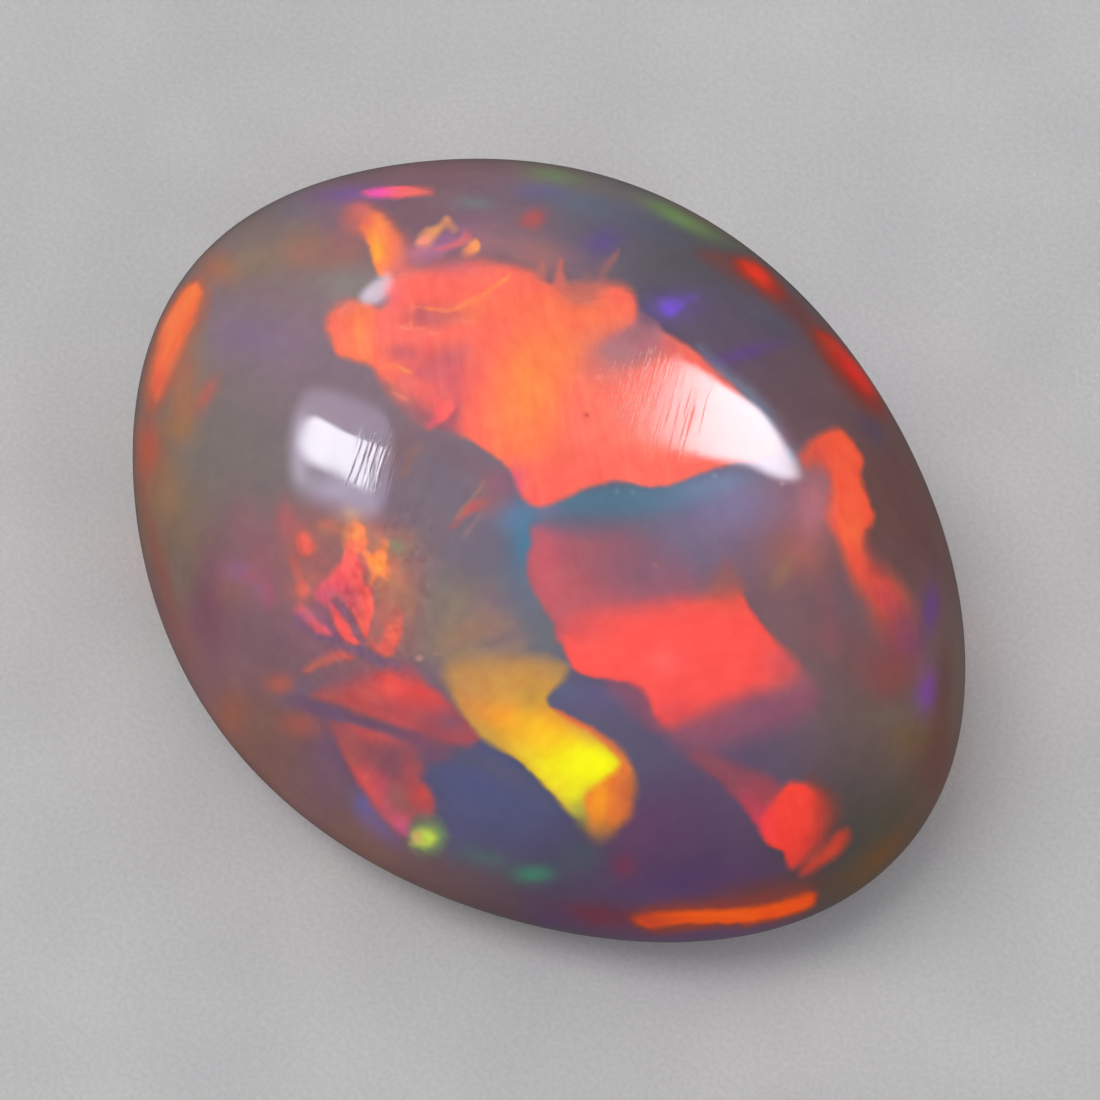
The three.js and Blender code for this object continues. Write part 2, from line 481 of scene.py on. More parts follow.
# Dim fields first.
domain("rose_field_centre", [(533, 526, 8), (531, 542, 5), (527, 562, 4), (529, 578, 4), (535, 594, 4),
       (545, 609, 4), (554, 624, 4), (563, 645, 4), (620, 640, 12), (680, 622, 16), (700, 590, 22), (668, 556, 26),
       (630, 536, 22), (590, 533, 18), (558, 526, 13)], 8, (176, 92, 106),
       [(548, 513, 24, 15, 0, (128, 118, 150), 1.0), (545, 566, 14, 34, -6, (212, 92, 104), 0.9), (575, 586, 22, 14, 0, (206, 92, 96), 0.6),
        (600, 556, 22, 14, 0, (180, 96, 98), 0.5), (650, 566, 40, 26, 0, (140, 98, 114), 0.9),
        (600, 620, 40, 16, 0, (216, 92, 98), 0.8)], 0.92, 0.45, grain=0.5)
domain("rose_field_lower", [(642, 694, 10), (700, 690, 14), (760, 678, 14), (806, 672, 12), (818, 700, 14),
       (794, 724, 16), (750, 738, 16), (706, 752, 14), (676, 744, 14), (655, 722, 8)], 14, (148, 86, 108),
       [(790, 672, 20, 16, 0, (196, 104, 110), 0.6), (690, 716, 30, 12, -10, (190, 86, 96), 0.6)], 0.85, 0.3)
domain("fan_haze", [(430, 652, 10), (428, 610, 22), (446, 576, 24), (490, 586, 24), (512, 608, 20), (532, 642, 12),
       (500, 660, 10)], 16, (144, 120, 110), [(450, 610, 22, 26, 0, (138, 130, 110), 0.7),
       (470, 632, 22, 9, -24, (176, 120, 88), 0.8), (494, 606, 14, 12, 0, (126, 100, 122), 0.8), (502, 632, 14, 10, 0, (146, 104, 104), 0.7)],
       0.6, 0.15)
domain("star_haze", [(282, 528), (292, 508), (320, 506), (350, 510), (380, 516), (404, 532), (416, 566), (420, 600), (412, 640), (392, 662),
       (340, 668), (300, 640), (284, 610), (278, 570)], 22, (164, 106, 104),
       [(312, 560, 22, 34, 0, (170, 106, 102), 0.8), (330, 545, 16, 20, 0, (160, 106, 100), 0.7),
        (396, 592, 13, 32, 8, (190, 126, 100), 0.95), (388, 584, 10, 12, 0, (196, 130, 94), 0.8),
        (320, 640, 24, 12, 20, (140, 98, 122), 0.6), (300, 620, 10, 9, 0, (132, 98, 132), 0.7)], 0.7, 0.15)
domain("red_field_lower_left", [(312, 697, 7), (322, 690, 8), (335, 684, 10), (350, 678, 11), (365, 672, 11), (380, 668, 9), (400, 665, 9),
       (412, 668, 8), (422, 678, 7), (432, 688, 7), (444, 696, 6), (453, 704, 5), (462, 714, 4), (472, 726, 4), (480, 738, 5),
       (468, 746, 7), (450, 744, 8), (436, 741, 8), (420, 736, 6), (404, 730, 5), (388, 724, 5), (372, 718, 5), (356, 711, 5),
       (340, 706, 5), (324, 702, 6)], 7, (178, 84, 90),
       [(328, 696, 18, 7, 0, (176, 92, 88), 0.9), (356, 680, 20, 7, -14, (164, 90, 100), 0.8), (362, 697, 14, 9, 0, (206, 84, 82), 0.9),
        (372, 711, 24, 6, 18, (198, 80, 84), 0.8), (404, 693, 24, 10, 16, (226, 79, 78), 0.9), (394, 686, 11, 8, 10, (250, 82, 78), 0.95),
        (424, 694, 10, 6, 20, (240, 76, 70), 0.9), (432, 704, 10, 8, 30, (218, 78, 80), 0.8), (402, 722, 9, 6, 0, (206, 78, 84), 0.7),
        (440, 722, 15, 9, 0, (160, 78, 92), 0.8), (452, 724, 8, 8, 0, (140, 88, 110), 0.8), (452, 737, 12, 6, -8, (174, 84, 90), 0.9),
        (408, 670, 8, 6, 0, (166, 84, 100), 0.7)], 0.94, 0.45, lean=16)
domain("red_field_lowest_left", [(330, 722, 5), (336, 740, 5), (345, 760, 4), (355, 778, 4), (366, 796, 5), (378, 812, 6), (388, 822, 6),
       (396, 832, 6), (406, 836, 7), (412, 826, 7), (416, 818, 7), (428, 818, 6), (434, 811, 5), (434, 800, 5), (429, 790, 6),
       (422, 780, 7), (425, 768, 10), (421, 757, 12), (432, 752, 14), (444, 748, 14), (430, 744, 12), (414, 744, 7), (400, 739, 5), (384, 734, 4), (366, 728, 4), (350, 723, 4)],
       6, (160, 86, 96),
       [(352, 731, 14, 6, 25, (176, 86, 92), 0.7), (362, 731, 12, 5, 25, (200, 84, 86), 0.8), (374, 739, 9, 7, 10, (206, 82, 80), 0.95),
        (390, 738, 11, 4, 20, (186, 82, 92), 0.8), (342, 745, 7, 15, -22, (178, 88, 90), 0.8), (350, 760, 7, 13, -25, (192, 88, 84), 0.9),
        (362, 776, 8, 11, -32, (232, 84, 82), 1.0), (373, 787, 11, 13, -30, (216, 84, 90), 0.95), (383, 784, 6, 9, 0, (206, 84, 104), 0.7),
        (378, 801, 7, 10, -35, (224, 90, 88), 0.9), (385, 812, 8, 8, 0, (204, 88, 108), 0.8), (398, 816, 9, 7, 0, (206, 92, 100), 0.8),
        (400, 824, 9, 6, 35, (222, 88, 124), 0.95), (406, 832, 7, 5, 30, (200, 84, 136), 0.9), (385, 762, 18, 12, 0, (134, 84, 98), 0.9),
        (364, 752, 12, 8, 0, (150, 86, 94), 0.7), (395, 795, 7, 14, 0, (172, 94, 104), 0.8), (412, 772, 9, 16, 0, (176, 82, 86), 0.9),
        (420, 797, 9, 7, 0, (214, 80, 78), 1.0), (426, 806, 7, 7, 0, (186, 84, 90), 0.7), (432, 752, 14, 6, 0, (132, 86, 108), 0.8)],
       0.95, 0.45, lean=-60)

# The large coral domain over the middle of the dome.
domain("coral_domain", [(326, 326, 6), (329, 313, 7), (340, 303, 8), (353, 300, 6), (364, 303, 5), (372, 306, 5),
       (380, 309, 6), (386, 302, 7), (385, 293, 8), (386, 282, 9), (394, 272, 10), (406, 266, 12), (424, 266, 14), (444, 263, 14), (462, 261, 13), (482, 261, 11),
       (504, 264, 8), (522, 268, 7), (536, 273, 6), (545, 281, 5), (552, 284, 5), (560, 280, 6), (567, 286, 9), (575, 292, 11), (584, 296, 12), (592, 291, 12),
       (600, 285, 11), (610, 283, 10), (622, 285, 9), (632, 291, 7), (637, 300, 6), (638, 312, 6), (646, 320, 8), (657, 327, 5), (668, 334, 4),
       (688, 346, 4), (706, 359, 4), (723, 374, 4), (744, 396, 4), (766, 420, 4), (780, 446, 4), (770, 458, 5),
       (748, 460, 5), (728, 464, 4), (708, 471, 3), (690, 478, 3), (670, 484, 3), (652, 487, 3), (638, 485, 3),
       (620, 482, 4), (602, 484, 4), (584, 489, 4), (568, 497, 4), (556, 502, 4), (540, 506, 4), (528, 503, 4),
       (520, 494, 4), (514, 480, 4), (508, 468, 3), (496, 457, 3), (482, 447, 3), (466, 438, 4), (454, 432, 6),
       (444, 428, 7), (434, 427, 7), (422, 421, 12), (409, 410, 12), (398, 400, 11),
       (387, 389, 9), (379, 378, 7), (370, 366, 5), (354, 360, 4), (338, 355, 4), (333, 346, 5), (329, 336, 6)],
       5, (255, 112, 96),
       [(361, 331, 17, 27, 4, (255, 140, 86), 1.0), (342, 332, 8, 18, 0, (255, 118, 98), 0.8), (384, 320, 9, 26, 0, (255, 120, 106), 0.8),
        (345, 304, 14, 7, -20, (226, 124, 112), 0.8), (393, 293, 7, 11, 0, (240, 112, 136), 0.85), (400, 273, 14, 8, -20, (255, 132, 120), 0.8),
        (428, 260, 16, 6, 0, (206, 114, 116), 0.8), (462, 257, 12, 5, 0, (224, 108, 122), 0.7), (424, 290, 24, 12, 0, (255, 106, 96), 0.8),
        (470, 272, 22, 10, 0, (255, 122, 108), 0.7), (455, 295, 20, 7, 0, (250, 106, 96), 0.5),
        (404, 334, 22, 14, 0, (255, 116, 108), 0.8), (424, 317, 14, 7, 0, (202, 104, 108), 0.95), (441, 317, 13, 7, 0, (210, 106, 106), 0.8),
        (462, 314, 10, 6, 0, (226, 118, 100), 0.7), (404, 353, 11, 7, 0, (214, 108, 110), 0.95),
        (440, 374, 25, 16, -12, (214, 101, 109), 1.0), (451, 359, 11, 8, -10, (202, 102, 110), 0.9), (425, 374, 9, 8, 0, (212, 104, 112), 0.7),
        (458, 386, 13, 16, 0, (232, 102, 108), 0.8), (427, 395, 13, 9, 0, (238, 104, 104), 0.9), (402, 384, 8, 6, 0, (238, 120, 114), 0.8),
        (412, 402, 10, 5, 30, (200, 112, 108), 0.8), (425, 416, 15, 7, 30, (176, 98, 110), 0.95), (453, 422, 5, 8, 20, (184, 94, 108), 0.9),
        (442, 428, 12, 5, 10, (166, 92, 110), 0.9), (458, 405, 5, 14, 0, (206, 100, 110), 0.7),
        (476, 405, 9, 34, -6, (255, 112, 96), 0.7), (388, 388, 10, 5, 35, (190, 112, 106), 0.7),
        (530, 392, 25, 40, 5, (255, 138, 76), 0.95), (516, 440, 20, 24, 0, (255, 128, 86), 0.7),
        (566, 350, 24, 22, 0, (255, 136, 76), 0.75), (540, 310, 50, 14, 6, (255, 122, 84), 0.6), (575, 305, 34, 10, 0, (255, 120, 84), 0.7),
        (594, 318, 24, 14, 0, (255, 122, 82), 0.7), (622, 296, 14, 10, 0, (255, 112, 92), 0.7), (600, 400, 26, 40, 0, (255, 124, 104), 0.8),
        (640, 425, 46, 20, 0, (255, 126, 108), 0.6), (570, 470, 50, 16, 0, (255, 106, 92), 0.7), (578, 297, 12, 7, 0, (206, 116, 98), 0.75), (450, 268, 20, 5, 0, (230, 112, 126), 0.6),
        (516, 484, 7, 16, 0, (226, 92, 122), 0.8), (562, 454, 10, 8, 0, (238, 106, 82), 0.6), (587, 415, 1.7, 1.5, 0, (176, 74, 62), 0.75),
        (540, 500, 20, 5, 0, (250, 94, 92), 0.5), (628, 350, 28, 14, -8, (184, 124, 126), 0.95), (606, 366, 14, 10, 0, (214, 126, 122), 0.6),
        (648, 340, 10, 9, 0, (176, 116, 128), 0.85), (640, 331, 13, 6, 0, (196, 112, 118), 0.7), (664, 344, 10, 7, 30, (216, 104, 108), 0.6)],
       1.0, 1.0, lean=80)
domain("grey_notch", [(640, 311, 5), (650, 316, 5), (660, 325, 5), (661, 336, 7), (654, 348, 10), (640, 357, 13), (620, 362, 13), (606, 359, 12),
       (600, 349, 11), (608, 339, 8), (620, 332, 7), (630, 326, 6), (636, 318, 6)], 8, (180, 120, 130),
       [(645, 319, 9, 7, 30, (128, 100, 120), 0.9), (632, 334, 8, 6, -40, (158, 108, 120), 0.8), (650, 350, 12, 7, 0, (206, 120, 126), 0.8),
        (612, 352, 9, 8, 0, (184, 126, 128), 0.7)], 0.86, 0.55)
domain("coral_notch", [(559, 286, 5), (570, 283, 6), (584, 282, 6), (597, 282, 8), (605, 289, 9), (598, 299, 9), (584, 303, 9), (570, 299, 8),
       (562, 292, 6)], 6, (216, 116, 100), (), 0.85, 0.6)
domain("orange_band_in_coral", [(508, 352, 14), (528, 336, 16), (560, 334, 16), (576, 354, 14), (570, 378, 9), (562, 400, 9),
       (558, 424, 12), (546, 446, 14), (520, 462, 14), (502, 450, 12), (496, 420, 14), (500, 384, 16)], 12,
       (255, 132, 80), [(530, 394, 12, 28, 0, (255, 146, 74), 0.8)], 0.5, 1.0, lean=86)
domain("petal", [(439, 401, 3), (447, 400, 4), (454, 403, 3), (455, 409, 2.5), (449, 415, 2), (443, 421, 2), (436, 425, 3), (429, 428, 5),
       (426, 424, 6), (434, 417, 5), (436, 409, 4)], 3, (255, 102, 104), [(431, 424, 7, 4, -30, (214, 98, 116), 0.8),
       (447, 408, 6, 6, 0, (255, 108, 104), 0.8)], 1.0, 1.0)
domain("coral_fold", [(476, 300, 4), (482, 297, 3), (484, 308, 5), (482, 322, 8), (474, 326, 9), (470, 316, 7), (473, 306, 5)], 4,
       (255, 130, 90), (), 0.6, 1.0)
domain("petal_shade", [(458, 407, 3), (452, 415, 2.5), (445, 422, 2.5), (438, 427, 3), (440, 430, 5), (450, 424, 5), (457, 416, 5)], 3,
       (168, 90, 106), (), 0.75, 0.7)
domain("thread_upper", [(411, 307, 1.8), (424, 307, 1.8), (440, 308, 2), (452, 308, 2), (464, 302, 2), (476, 296, 2), (488, 290, 2),
       (500, 281, 2), (510, 272, 1.8), (508, 279, 1.8), (498, 287, 2), (488, 294, 2.5), (479, 301, 4), (467, 307, 4), (452, 311, 2.5),
       (438, 311, 2), (424, 309, 1.6)], 2, (255, 140, 92), [(498, 284, 12, 6, -35, (255, 148, 84), 0.8)], 0.85, 1.05)
domain("thread_edge", [(410, 303, 2), (413, 304, 2), (413, 325, 2), (424, 326, 2), (436, 330, 2.5), (424, 329, 2), (411, 328, 3), (400, 327, 4),
       (404, 324, 3), (410, 322, 2)], 2, (255, 134, 106), (), 0.4, 1.05)
domain("thread_lower", [(380, 362, 4), (392, 363, 2.5), (402, 366, 2), (412, 372, 2), (404, 374, 3), (392, 371, 5),
       (381, 370, 5)], 3, (255, 128, 94), [(404, 368, 7, 3, 25, (244, 142, 98), 0.9)], 0.85, 1.05)
domain("thread_lowest", [(392, 391, 2), (400, 394, 2), (410, 400, 2), (404, 401, 2), (396, 397, 2)], 2, (224, 128, 112), (), 0.7, 1.0)

# The flame and the flecks above it.
domain("flame_root", [(343, 220, 10), (348, 208, 9), (360, 202, 8), (374, 207, 9), (388, 220, 12), (402, 236, 13),
       (412, 254, 13), (406, 270, 10), (390, 278, 6), (379, 272, 3), (372, 256, 3), (368, 240, 4), (356, 232, 9)], 6,
       (226, 110, 98), [(404, 256, 14, 16, 0, (206, 110, 112), 0.8), (350, 218, 10, 9, 0, (186, 106, 104), 0.9), (362, 208, 9, 6, 0, (218, 108, 106), 0.8),
                        (398, 264, 10, 8, 0, (240, 124, 120), 0.8)], 0.92, 0.7)
domain("flame", [(361, 227, 7), (366, 218, 6), (375, 213, 6), (384, 219, 7), (392, 228, 8), (398, 238, 9), (399, 250, 10), (395, 261, 9),
       (388, 270, 8), (381, 275, 5), (376, 270, 3), (371, 256, 3), (368, 243, 3), (365, 234, 4)], 4, (255, 134, 84),
       [(378, 250, 8, 14, 0, (255, 174, 66), 1.0), (376, 228, 10, 9, 0, (255, 146, 80), 0.8), (393, 248, 6, 16, -10, (255, 120, 92), 0.8),
        (366, 220, 7, 6, 0, (240, 108, 94), 0.8), (384, 268, 8, 6, 0, (255, 132, 98), 0.7)], 1.0, 0.9)
domain("lilac_under_fleck", [(410, 252, 8), (418, 244, 6), (434, 242, 6), (446, 236, 5), (454, 238, 5), (448, 246, 6), (440, 256, 8),
       (424, 260, 9), (412, 260, 9)], 6, (194, 122, 156), [(443, 240, 7, 5, 0, (158, 110, 150), 0.9), (416, 254, 7, 8, 0, (206, 122, 140), 0.7)],
       0.8, 0.6)
domain("fleck_long", [(416, 242, 4), (420, 235, 4), (427, 229, 3.5), (433, 226, 3), (440, 223, 3), (447, 216, 3), (453, 222, 4), (458, 230, 4),
       (452, 232, 3), (447, 229, 3), (441, 231, 4), (436, 238, 5), (429, 245, 5), (419, 246, 5)], 3, (232, 158, 108),
       [(424, 241, 9, 5, -20, (255, 152, 132), 1.0), (434, 230, 7, 4, -30, (234, 164, 104), 0.8), (446, 221, 5, 5, 0, (222, 144, 112), 0.8),
        (455, 228, 5, 4, 40, (190, 132, 116), 0.9), (447, 229, 4, 3, 0, (166, 124, 110), 0.9)], 0.97, 0.8)
domain("fleck_rose", [(436, 249, 4), (446, 245, 3), (455, 241, 3), (462, 236, 4), (464, 231, 4), (470, 232, 4), (473, 239, 4), (468, 244, 3),
       (458, 247, 3), (446, 250, 4)], 4, (228, 112, 124),
       [(467, 234, 6, 4, 40, (196, 110, 124), 0.8), (469, 241, 5, 4, 0, (212, 118, 108), 0.8)], 0.85, 0.7)
domain("fleck_gold", [(463, 252, 5), (467, 246, 3), (473, 241, 2.5), (479, 241, 2), (480.5, 250, 2), (475, 255, 4), (467, 256, 5)], 3,
       (255, 158, 102), [(475, 246, 4, 4, 0, (255, 164, 104), 0.8), (465, 252, 4, 3, 0, (214, 132, 104), 0.8)], 1.0, 0.8)
domain("red_dot_top", [(524, 218, 6), (531, 213, 6), (540, 217, 6), (541, 225, 6), (533, 229, 6), (526, 225, 6)], 5,
       (188, 92, 92), (), 0.6, 0.3)
domain("top_streak", [(362, 193, 5), (372, 188, 3.5), (388, 186, 3), (404, 186, 3), (420, 187, 4), (434, 190, 5),
       (427, 195, 4), (412, 197, 3.5), (394, 198, 3.5), (376, 197, 4)], 3, (255, 108, 106),
       [(376, 192, 13, 8, 0, (246, 86, 176), 1.0), (428, 191, 12, 8, 0, (226, 112, 106), 0.8)], 1.0, 0.9, lean=0)
domain("violet_chip", [(658, 299, 5), (680, 297, 5), (699, 296, 5), (689, 303, 4), (675, 315, 3.5), (663, 314, 4)], 3,
       (116, 88, 196), [(671, 308, 9, 5, -8, (128, 82, 228), 0.9), (690, 299, 9, 5, 0, (110, 88, 156), 0.8), (659, 300, 6, 5, 0, (112, 90, 160), 0.7)], 0.85, 0.6)
domain("needle_right", [(588, 292, 8), (598, 275, 5), (605, 263, 3), (611, 255, 2), (619, 248, 1.8), (617, 257, 2.5), (611, 266, 4), (600, 284, 7)], 3,
       (196, 114, 104), (), 0.52, 0.5)
domain("needle_middle", [(552, 288, 6), (556, 274, 5), (559, 263, 3), (562, 257, 2.5), (564, 270, 3), (567, 289, 5)], 5, (214, 112, 100), (), 0.85, 0.7)
domain("needle_first", [(533, 278, 6), (539, 268, 5), (542, 259, 3), (545, 268, 4), (546, 283, 5)], 4, (204, 114, 104), (), 0.7, 0.55)
domain("needle_low", [(566, 288, 6), (580, 278, 5), (596, 268, 3), (606, 258, 2), (594, 274, 5), (578, 290, 6)], 3, (186, 110, 108), (), 0.4, 0.5)

# Right side.
# painted light: a blue fringe along the upper edge of the right light's reflection
domain("painted_right_light_fringe", [(697, 346, 6), (708, 351, 7), (722, 364, 8), (738, 378, 8), (756, 394, 8), (770, 408, 9), (786, 430, 9), (800, 458, 8),
       (792, 462, 6), (776, 440, 5), (758, 416, 5), (739, 393, 5), (722, 377, 5), (706, 361, 5)], 7, (132, 142, 164),
       [(708, 358, 12, 8, 40, (112, 112, 146), 0.8), (786, 436, 12, 16, 60, (156, 122, 142), 0.9)], 0.75, 0.3)
domain("right_band", [(801, 457, 9), (807, 447, 8), (816, 438, 7), (828, 430, 6), (841, 429, 6), (850, 437, 5),
       (857, 447, 5), (862, 456, 4), (864, 464, 4), (861, 473, 4), (863, 483, 5), (867, 494, 5), (871, 505, 5), (875, 514, 5), (872, 525, 5),
       (867, 533, 6), (868, 545, 10), (872, 557, 12), (880, 567, 14), (890, 577, 14), (900, 589, 15), (906, 602, 16), (908, 616, 17),
       (902, 630, 19), (890, 636, 19), (879, 626, 16), (870, 611, 13), (861, 598, 11), (854, 585, 10), (849, 570, 9), (844, 555, 9),
       (838, 541, 8), (832, 530, 9), (828, 518, 10), (829, 504, 9), (831, 491, 8), (832, 480, 7), (827, 472, 9), (816, 466, 12), (806, 464, 11)],
       6, (255, 90, 58),
       [(818, 442, 12, 8, -30, (242, 90, 66), 0.9), (813, 456, 10, 8, 0, (218, 92, 80), 0.9), (824, 466, 9, 8, 0, (226, 88, 74), 0.9),
        (848, 492, 12, 40, -6, (255, 98, 66), 0.9), (833, 516, 6, 16, 0, (250, 98, 80), 0.8), (853, 532, 8, 12, -20, (255, 108, 66), 0.9),
        (872, 552, 7, 12, -15, (176, 74, 70), 0.85), (856, 566, 8, 14, -15, (240, 86, 68), 0.8), (878, 572, 9, 8, 30, (196, 76, 68), 0.9),
        (868, 586, 12, 8, 30, (222, 82, 70), 0.9), (883, 594, 10, 8, 30, (212, 76, 78), 0.95), (893, 610, 12, 10, 40, (190, 76, 82), 0.95),
        (886, 626, 12, 9, 0, (176, 78, 72), 0.95), (902, 624, 8, 12, 0, (160, 74, 92), 0.9), (862, 602, 7, 14, -30, (150, 84, 84), 0.8)], 1.0, 0.9, lean=80)
domain("right_band_trail", [(888, 632, 12), (900, 626, 12), (912, 636, 10), (916, 650, 12), (910, 668, 16), (904, 688, 16), (884, 700, 18),
       (872, 684, 18), (876, 660, 16), (882, 644, 14)], 14, (138, 74, 78),
       [(906, 638, 8, 10, 0, (146, 72, 104), 0.9), (913, 648, 7, 8, 0, (136, 70, 112), 0.8), (893, 676, 14, 14, 0, (144, 78, 72), 0.8)], 0.6, 0.3, lean=80)
domain("right_faint_streak", [(816, 578, 8), (828, 580, 8), (832, 604, 9), (838, 636, 10), (834, 658, 12), (824, 640, 10), (820, 606, 9)], 9,
       (146, 92, 96), (), 0.55, 0.3, lean=80)
domain("right_rim_upper_halo", [(700, 251, 8), (722, 252, 8), (748, 256, 6), (770, 270, 5), (788, 288, 5), (806, 308, 6), (820, 328, 8),
       (808, 332, 11), (790, 316, 11), (768, 300, 11), (742, 284, 12), (718, 268, 11), (702, 260, 8)], 9, (128, 66, 64),
       [(796, 314, 20, 14, 45, (112, 60, 60), 0.8), (712, 256, 16, 8, 10, (122, 74, 70), 0.8)], 0.85, 0.4, lean=40)
domain("right_rim_upper", [(736, 262, 8), (746, 259, 6), (757, 263, 5), (768, 272, 5), (777, 283, 6), (784, 295, 8), (776, 298, 8),
       (764, 291, 7), (752, 281, 7), (741, 272, 8)], 6, (200, 42, 18), [(757, 274, 13, 6, 40, (246, 48, 10), 1.0), (778, 292, 9, 8, 40, (150, 42, 34), 0.8)],
       0.97, 0.7, lean=40)
domain("right_rim_lower_halo", [(808, 326, 8), (824, 328, 6), (844, 346, 4), (862, 366, 4), (878, 388, 4), (892, 414, 8), (880, 420, 10),
       (858, 406, 11), (840, 386, 11), (824, 362, 10), (812, 342, 9)], 8, (128, 60, 54), (), 0.9, 0.4, lean=50)
domain("right_rim_lower", [(818, 334, 8), (830, 335, 6), (844, 348, 4), (857, 362, 4), (869, 378, 4), (880, 396, 6), (878, 405, 9), (866, 397, 9),
       (852, 382, 9), (838, 366, 9), (826, 350, 9)], 5, (196, 30, 4),
       [(856, 370, 26, 7, 52, (230, 20, 0), 1.0), (832, 346, 10, 8, 45, (190, 46, 26), 0.8), (878, 402, 8, 8, 0, (138, 38, 28), 0.8)],
       0.97, 0.7, lean=50)

# Left side.
domain("left_rim_halo", [(196, 276, 8), (208, 286, 8), (206, 306, 10), (192, 340, 12), (176, 376, 12), (162, 404, 10),
       (148, 412, 8), (143, 390, 6), (148, 356, 5), (158, 326, 5), (174, 298, 5)], 8, (190, 96, 70), (), 0.8, 0.5, lean=105)
domain("left_rim_band", [(190, 284, 5), (198, 285, 4), (202, 292, 5), (199, 303, 6), (193, 317, 7), (186, 335, 7),
       (180, 352, 8), (173, 370, 8), (164, 388, 8), (155, 398, 8), (151, 382, 6), (155, 360, 5), (159, 342, 5),
       (164, 324, 5), (171, 308, 5), (180, 294, 5)], 5, (255, 118, 70),
       [(194, 294, 8, 8, 0, (255, 124, 58), 0.6), (161, 382, 9, 15, 15, (236, 98, 72), 0.9)], 1.0, 0.9, lean=105)
domain("blob_left_haze", [(290, 524, 10), (304, 526, 9), (318, 536, 8), (320, 552, 8), (312, 562, 9), (298, 556, 9), (290, 542, 9)], 9,
       (196, 104, 94), (), 0.6, 0.5)
domain("blob_left", [(297, 541, 5), (299, 534, 5), (305, 532, 5), (311, 538, 4), (315, 547, 4), (312, 554, 4), (306, 555, 5), (300, 550, 5)],
       4, (240, 104, 90), (), 0.97, 0.8)
domain("streak_left_down", [(292, 560, 5), (297, 560, 6), (301, 572, 6), (304, 584, 6), (300, 590, 6), (296, 580, 5)], 5,
       (192, 104, 92), (), 0.6, 0.6)
domain("blob_left_low", [(297, 586, 5), (302, 581, 5), (309, 585, 5), (310, 592, 5), (303, 595, 5)], 5,
       (226, 108, 92), (), 0.85, 0.6)
domain("blob_top", [(318, 525, 7), (327, 520, 7), (338, 525, 8), (335, 531, 7), (325, 531, 7)], 5, (198, 118, 96), (), 0.7, 0.5)
domain("gold_haze", [(340, 540, 7), (342, 524, 7), (350, 514, 8), (362, 518, 7), (372, 530, 6), (384, 534, 6), (392, 548, 6), (396, 566, 8),
       (402, 584, 10), (392, 596, 10), (376, 590, 8), (366, 572, 6), (350, 556, 6)], 8, (206, 128, 96), (), 0.6, 0.6)
domain("star_gold", [(344, 538, 6), (347, 528, 6), (353, 521, 5), (360, 524, 4), (366, 531, 3), (368, 541, 3.5), (367, 548, 3),
       (374, 552, 3), (379, 545, 4), (381, 538, 4), (385, 539, 3.5), (388, 549, 3.5), (387, 560, 4), (391, 569, 4), (388, 577, 5),
       (379, 577, 5), (373, 584, 4), (369, 583, 4), (370, 572, 4), (366, 561, 4), (360, 553, 4), (350, 550, 6)], 4, (252, 134, 84),
       [(379, 563, 8, 8, 0, (255, 152, 72), 1.0), (357, 534, 8, 7, 0, (255, 142, 88), 0.8), (382, 546, 6, 8, 0, (255, 130, 86), 0.8),
        (371, 580, 5, 6, 0, (240, 126, 88), 0.8), (362, 550, 6, 4, 0, (255, 136, 98), 0.7), (347, 530, 6, 7, 0, (218, 132, 98), 0.8),
        (354, 545, 8, 4, 0, (252, 116, 92), 0.8)], 1.0, 0.8)
domain("star_heart", [(346, 547, 6), (354, 547, 5), (359, 555, 3), (361, 566, 3), (364, 580, 3.5), (370, 588, 4), (374, 600, 3.5),
       (373, 614, 3), (370, 627, 3), (366, 638, 2.5), (362, 630, 3), (356, 620, 3), (349, 609, 3.5), (343, 600, 4),
       (336, 597, 4), (329, 603, 4), (322, 604, 4), (315, 596, 4), (319, 586, 5), (328, 577, 5), (336, 567, 5), (342, 556, 5)], 3,
       (255, 98, 98), [(322, 594, 12, 8, 25, (220, 94, 122), 0.9), (318, 600, 4, 5, 0, (206, 96, 130), 0.6), (340, 587, 7, 7, 0, (240, 88, 116), 0.7), (366, 572, 4, 14, 0, (206, 92, 92), 0.55), (352, 568, 9, 13, 0, (255, 102, 100), 0.8),
                       (364, 612, 7, 20, 0, (255, 106, 84), 0.95), (350, 548, 6, 5, 0, (255, 116, 96), 0.7), (352, 598, 7, 10, -20, (200, 88, 104), 0.85), (358, 612, 4, 9, -20, (206, 90, 98), 0.6)],
       1.0, 0.95)
domain("star_crease", [(357, 553, 2.5), (361, 551, 3), (367, 564, 3), (367, 578, 3), (364, 577, 3), (361, 565, 2.5)], 3, (204, 92, 96), (), 0.66, 0.6)
domain("star_dark_upper", [(331, 600, 3), (338, 599, 4), (346, 608, 3), (354, 620, 3), (361, 633, 2.5), (364, 643, 2.5), (358, 640, 2.5),
       (349, 627, 2.5), (341, 613, 2.5), (334, 606, 3)], 3, (148, 98, 118), (), 0.95, 0.2)
domain("star_shard_low", [(329, 604, 3), (336, 607, 3), (341, 614, 2.5), (349, 627, 2.5), (356, 638, 2.5), (358, 644, 3), (351, 644, 3),
       (342, 636, 3), (335, 624, 3), (330, 612, 3)], 3, (250, 96, 92), [(332, 608, 5, 5, 0, (228, 92, 110), 0.8)], 1.0, 0.9)
domain("star_dark_lower", [(314, 602, 5), (322, 606, 4), (329, 618, 3), (335, 630, 3), (344, 642, 3), (338, 643, 3), (328, 633, 3),
       (320, 620, 4)], 3, (146, 94, 124), (), 0.85, 0.2)
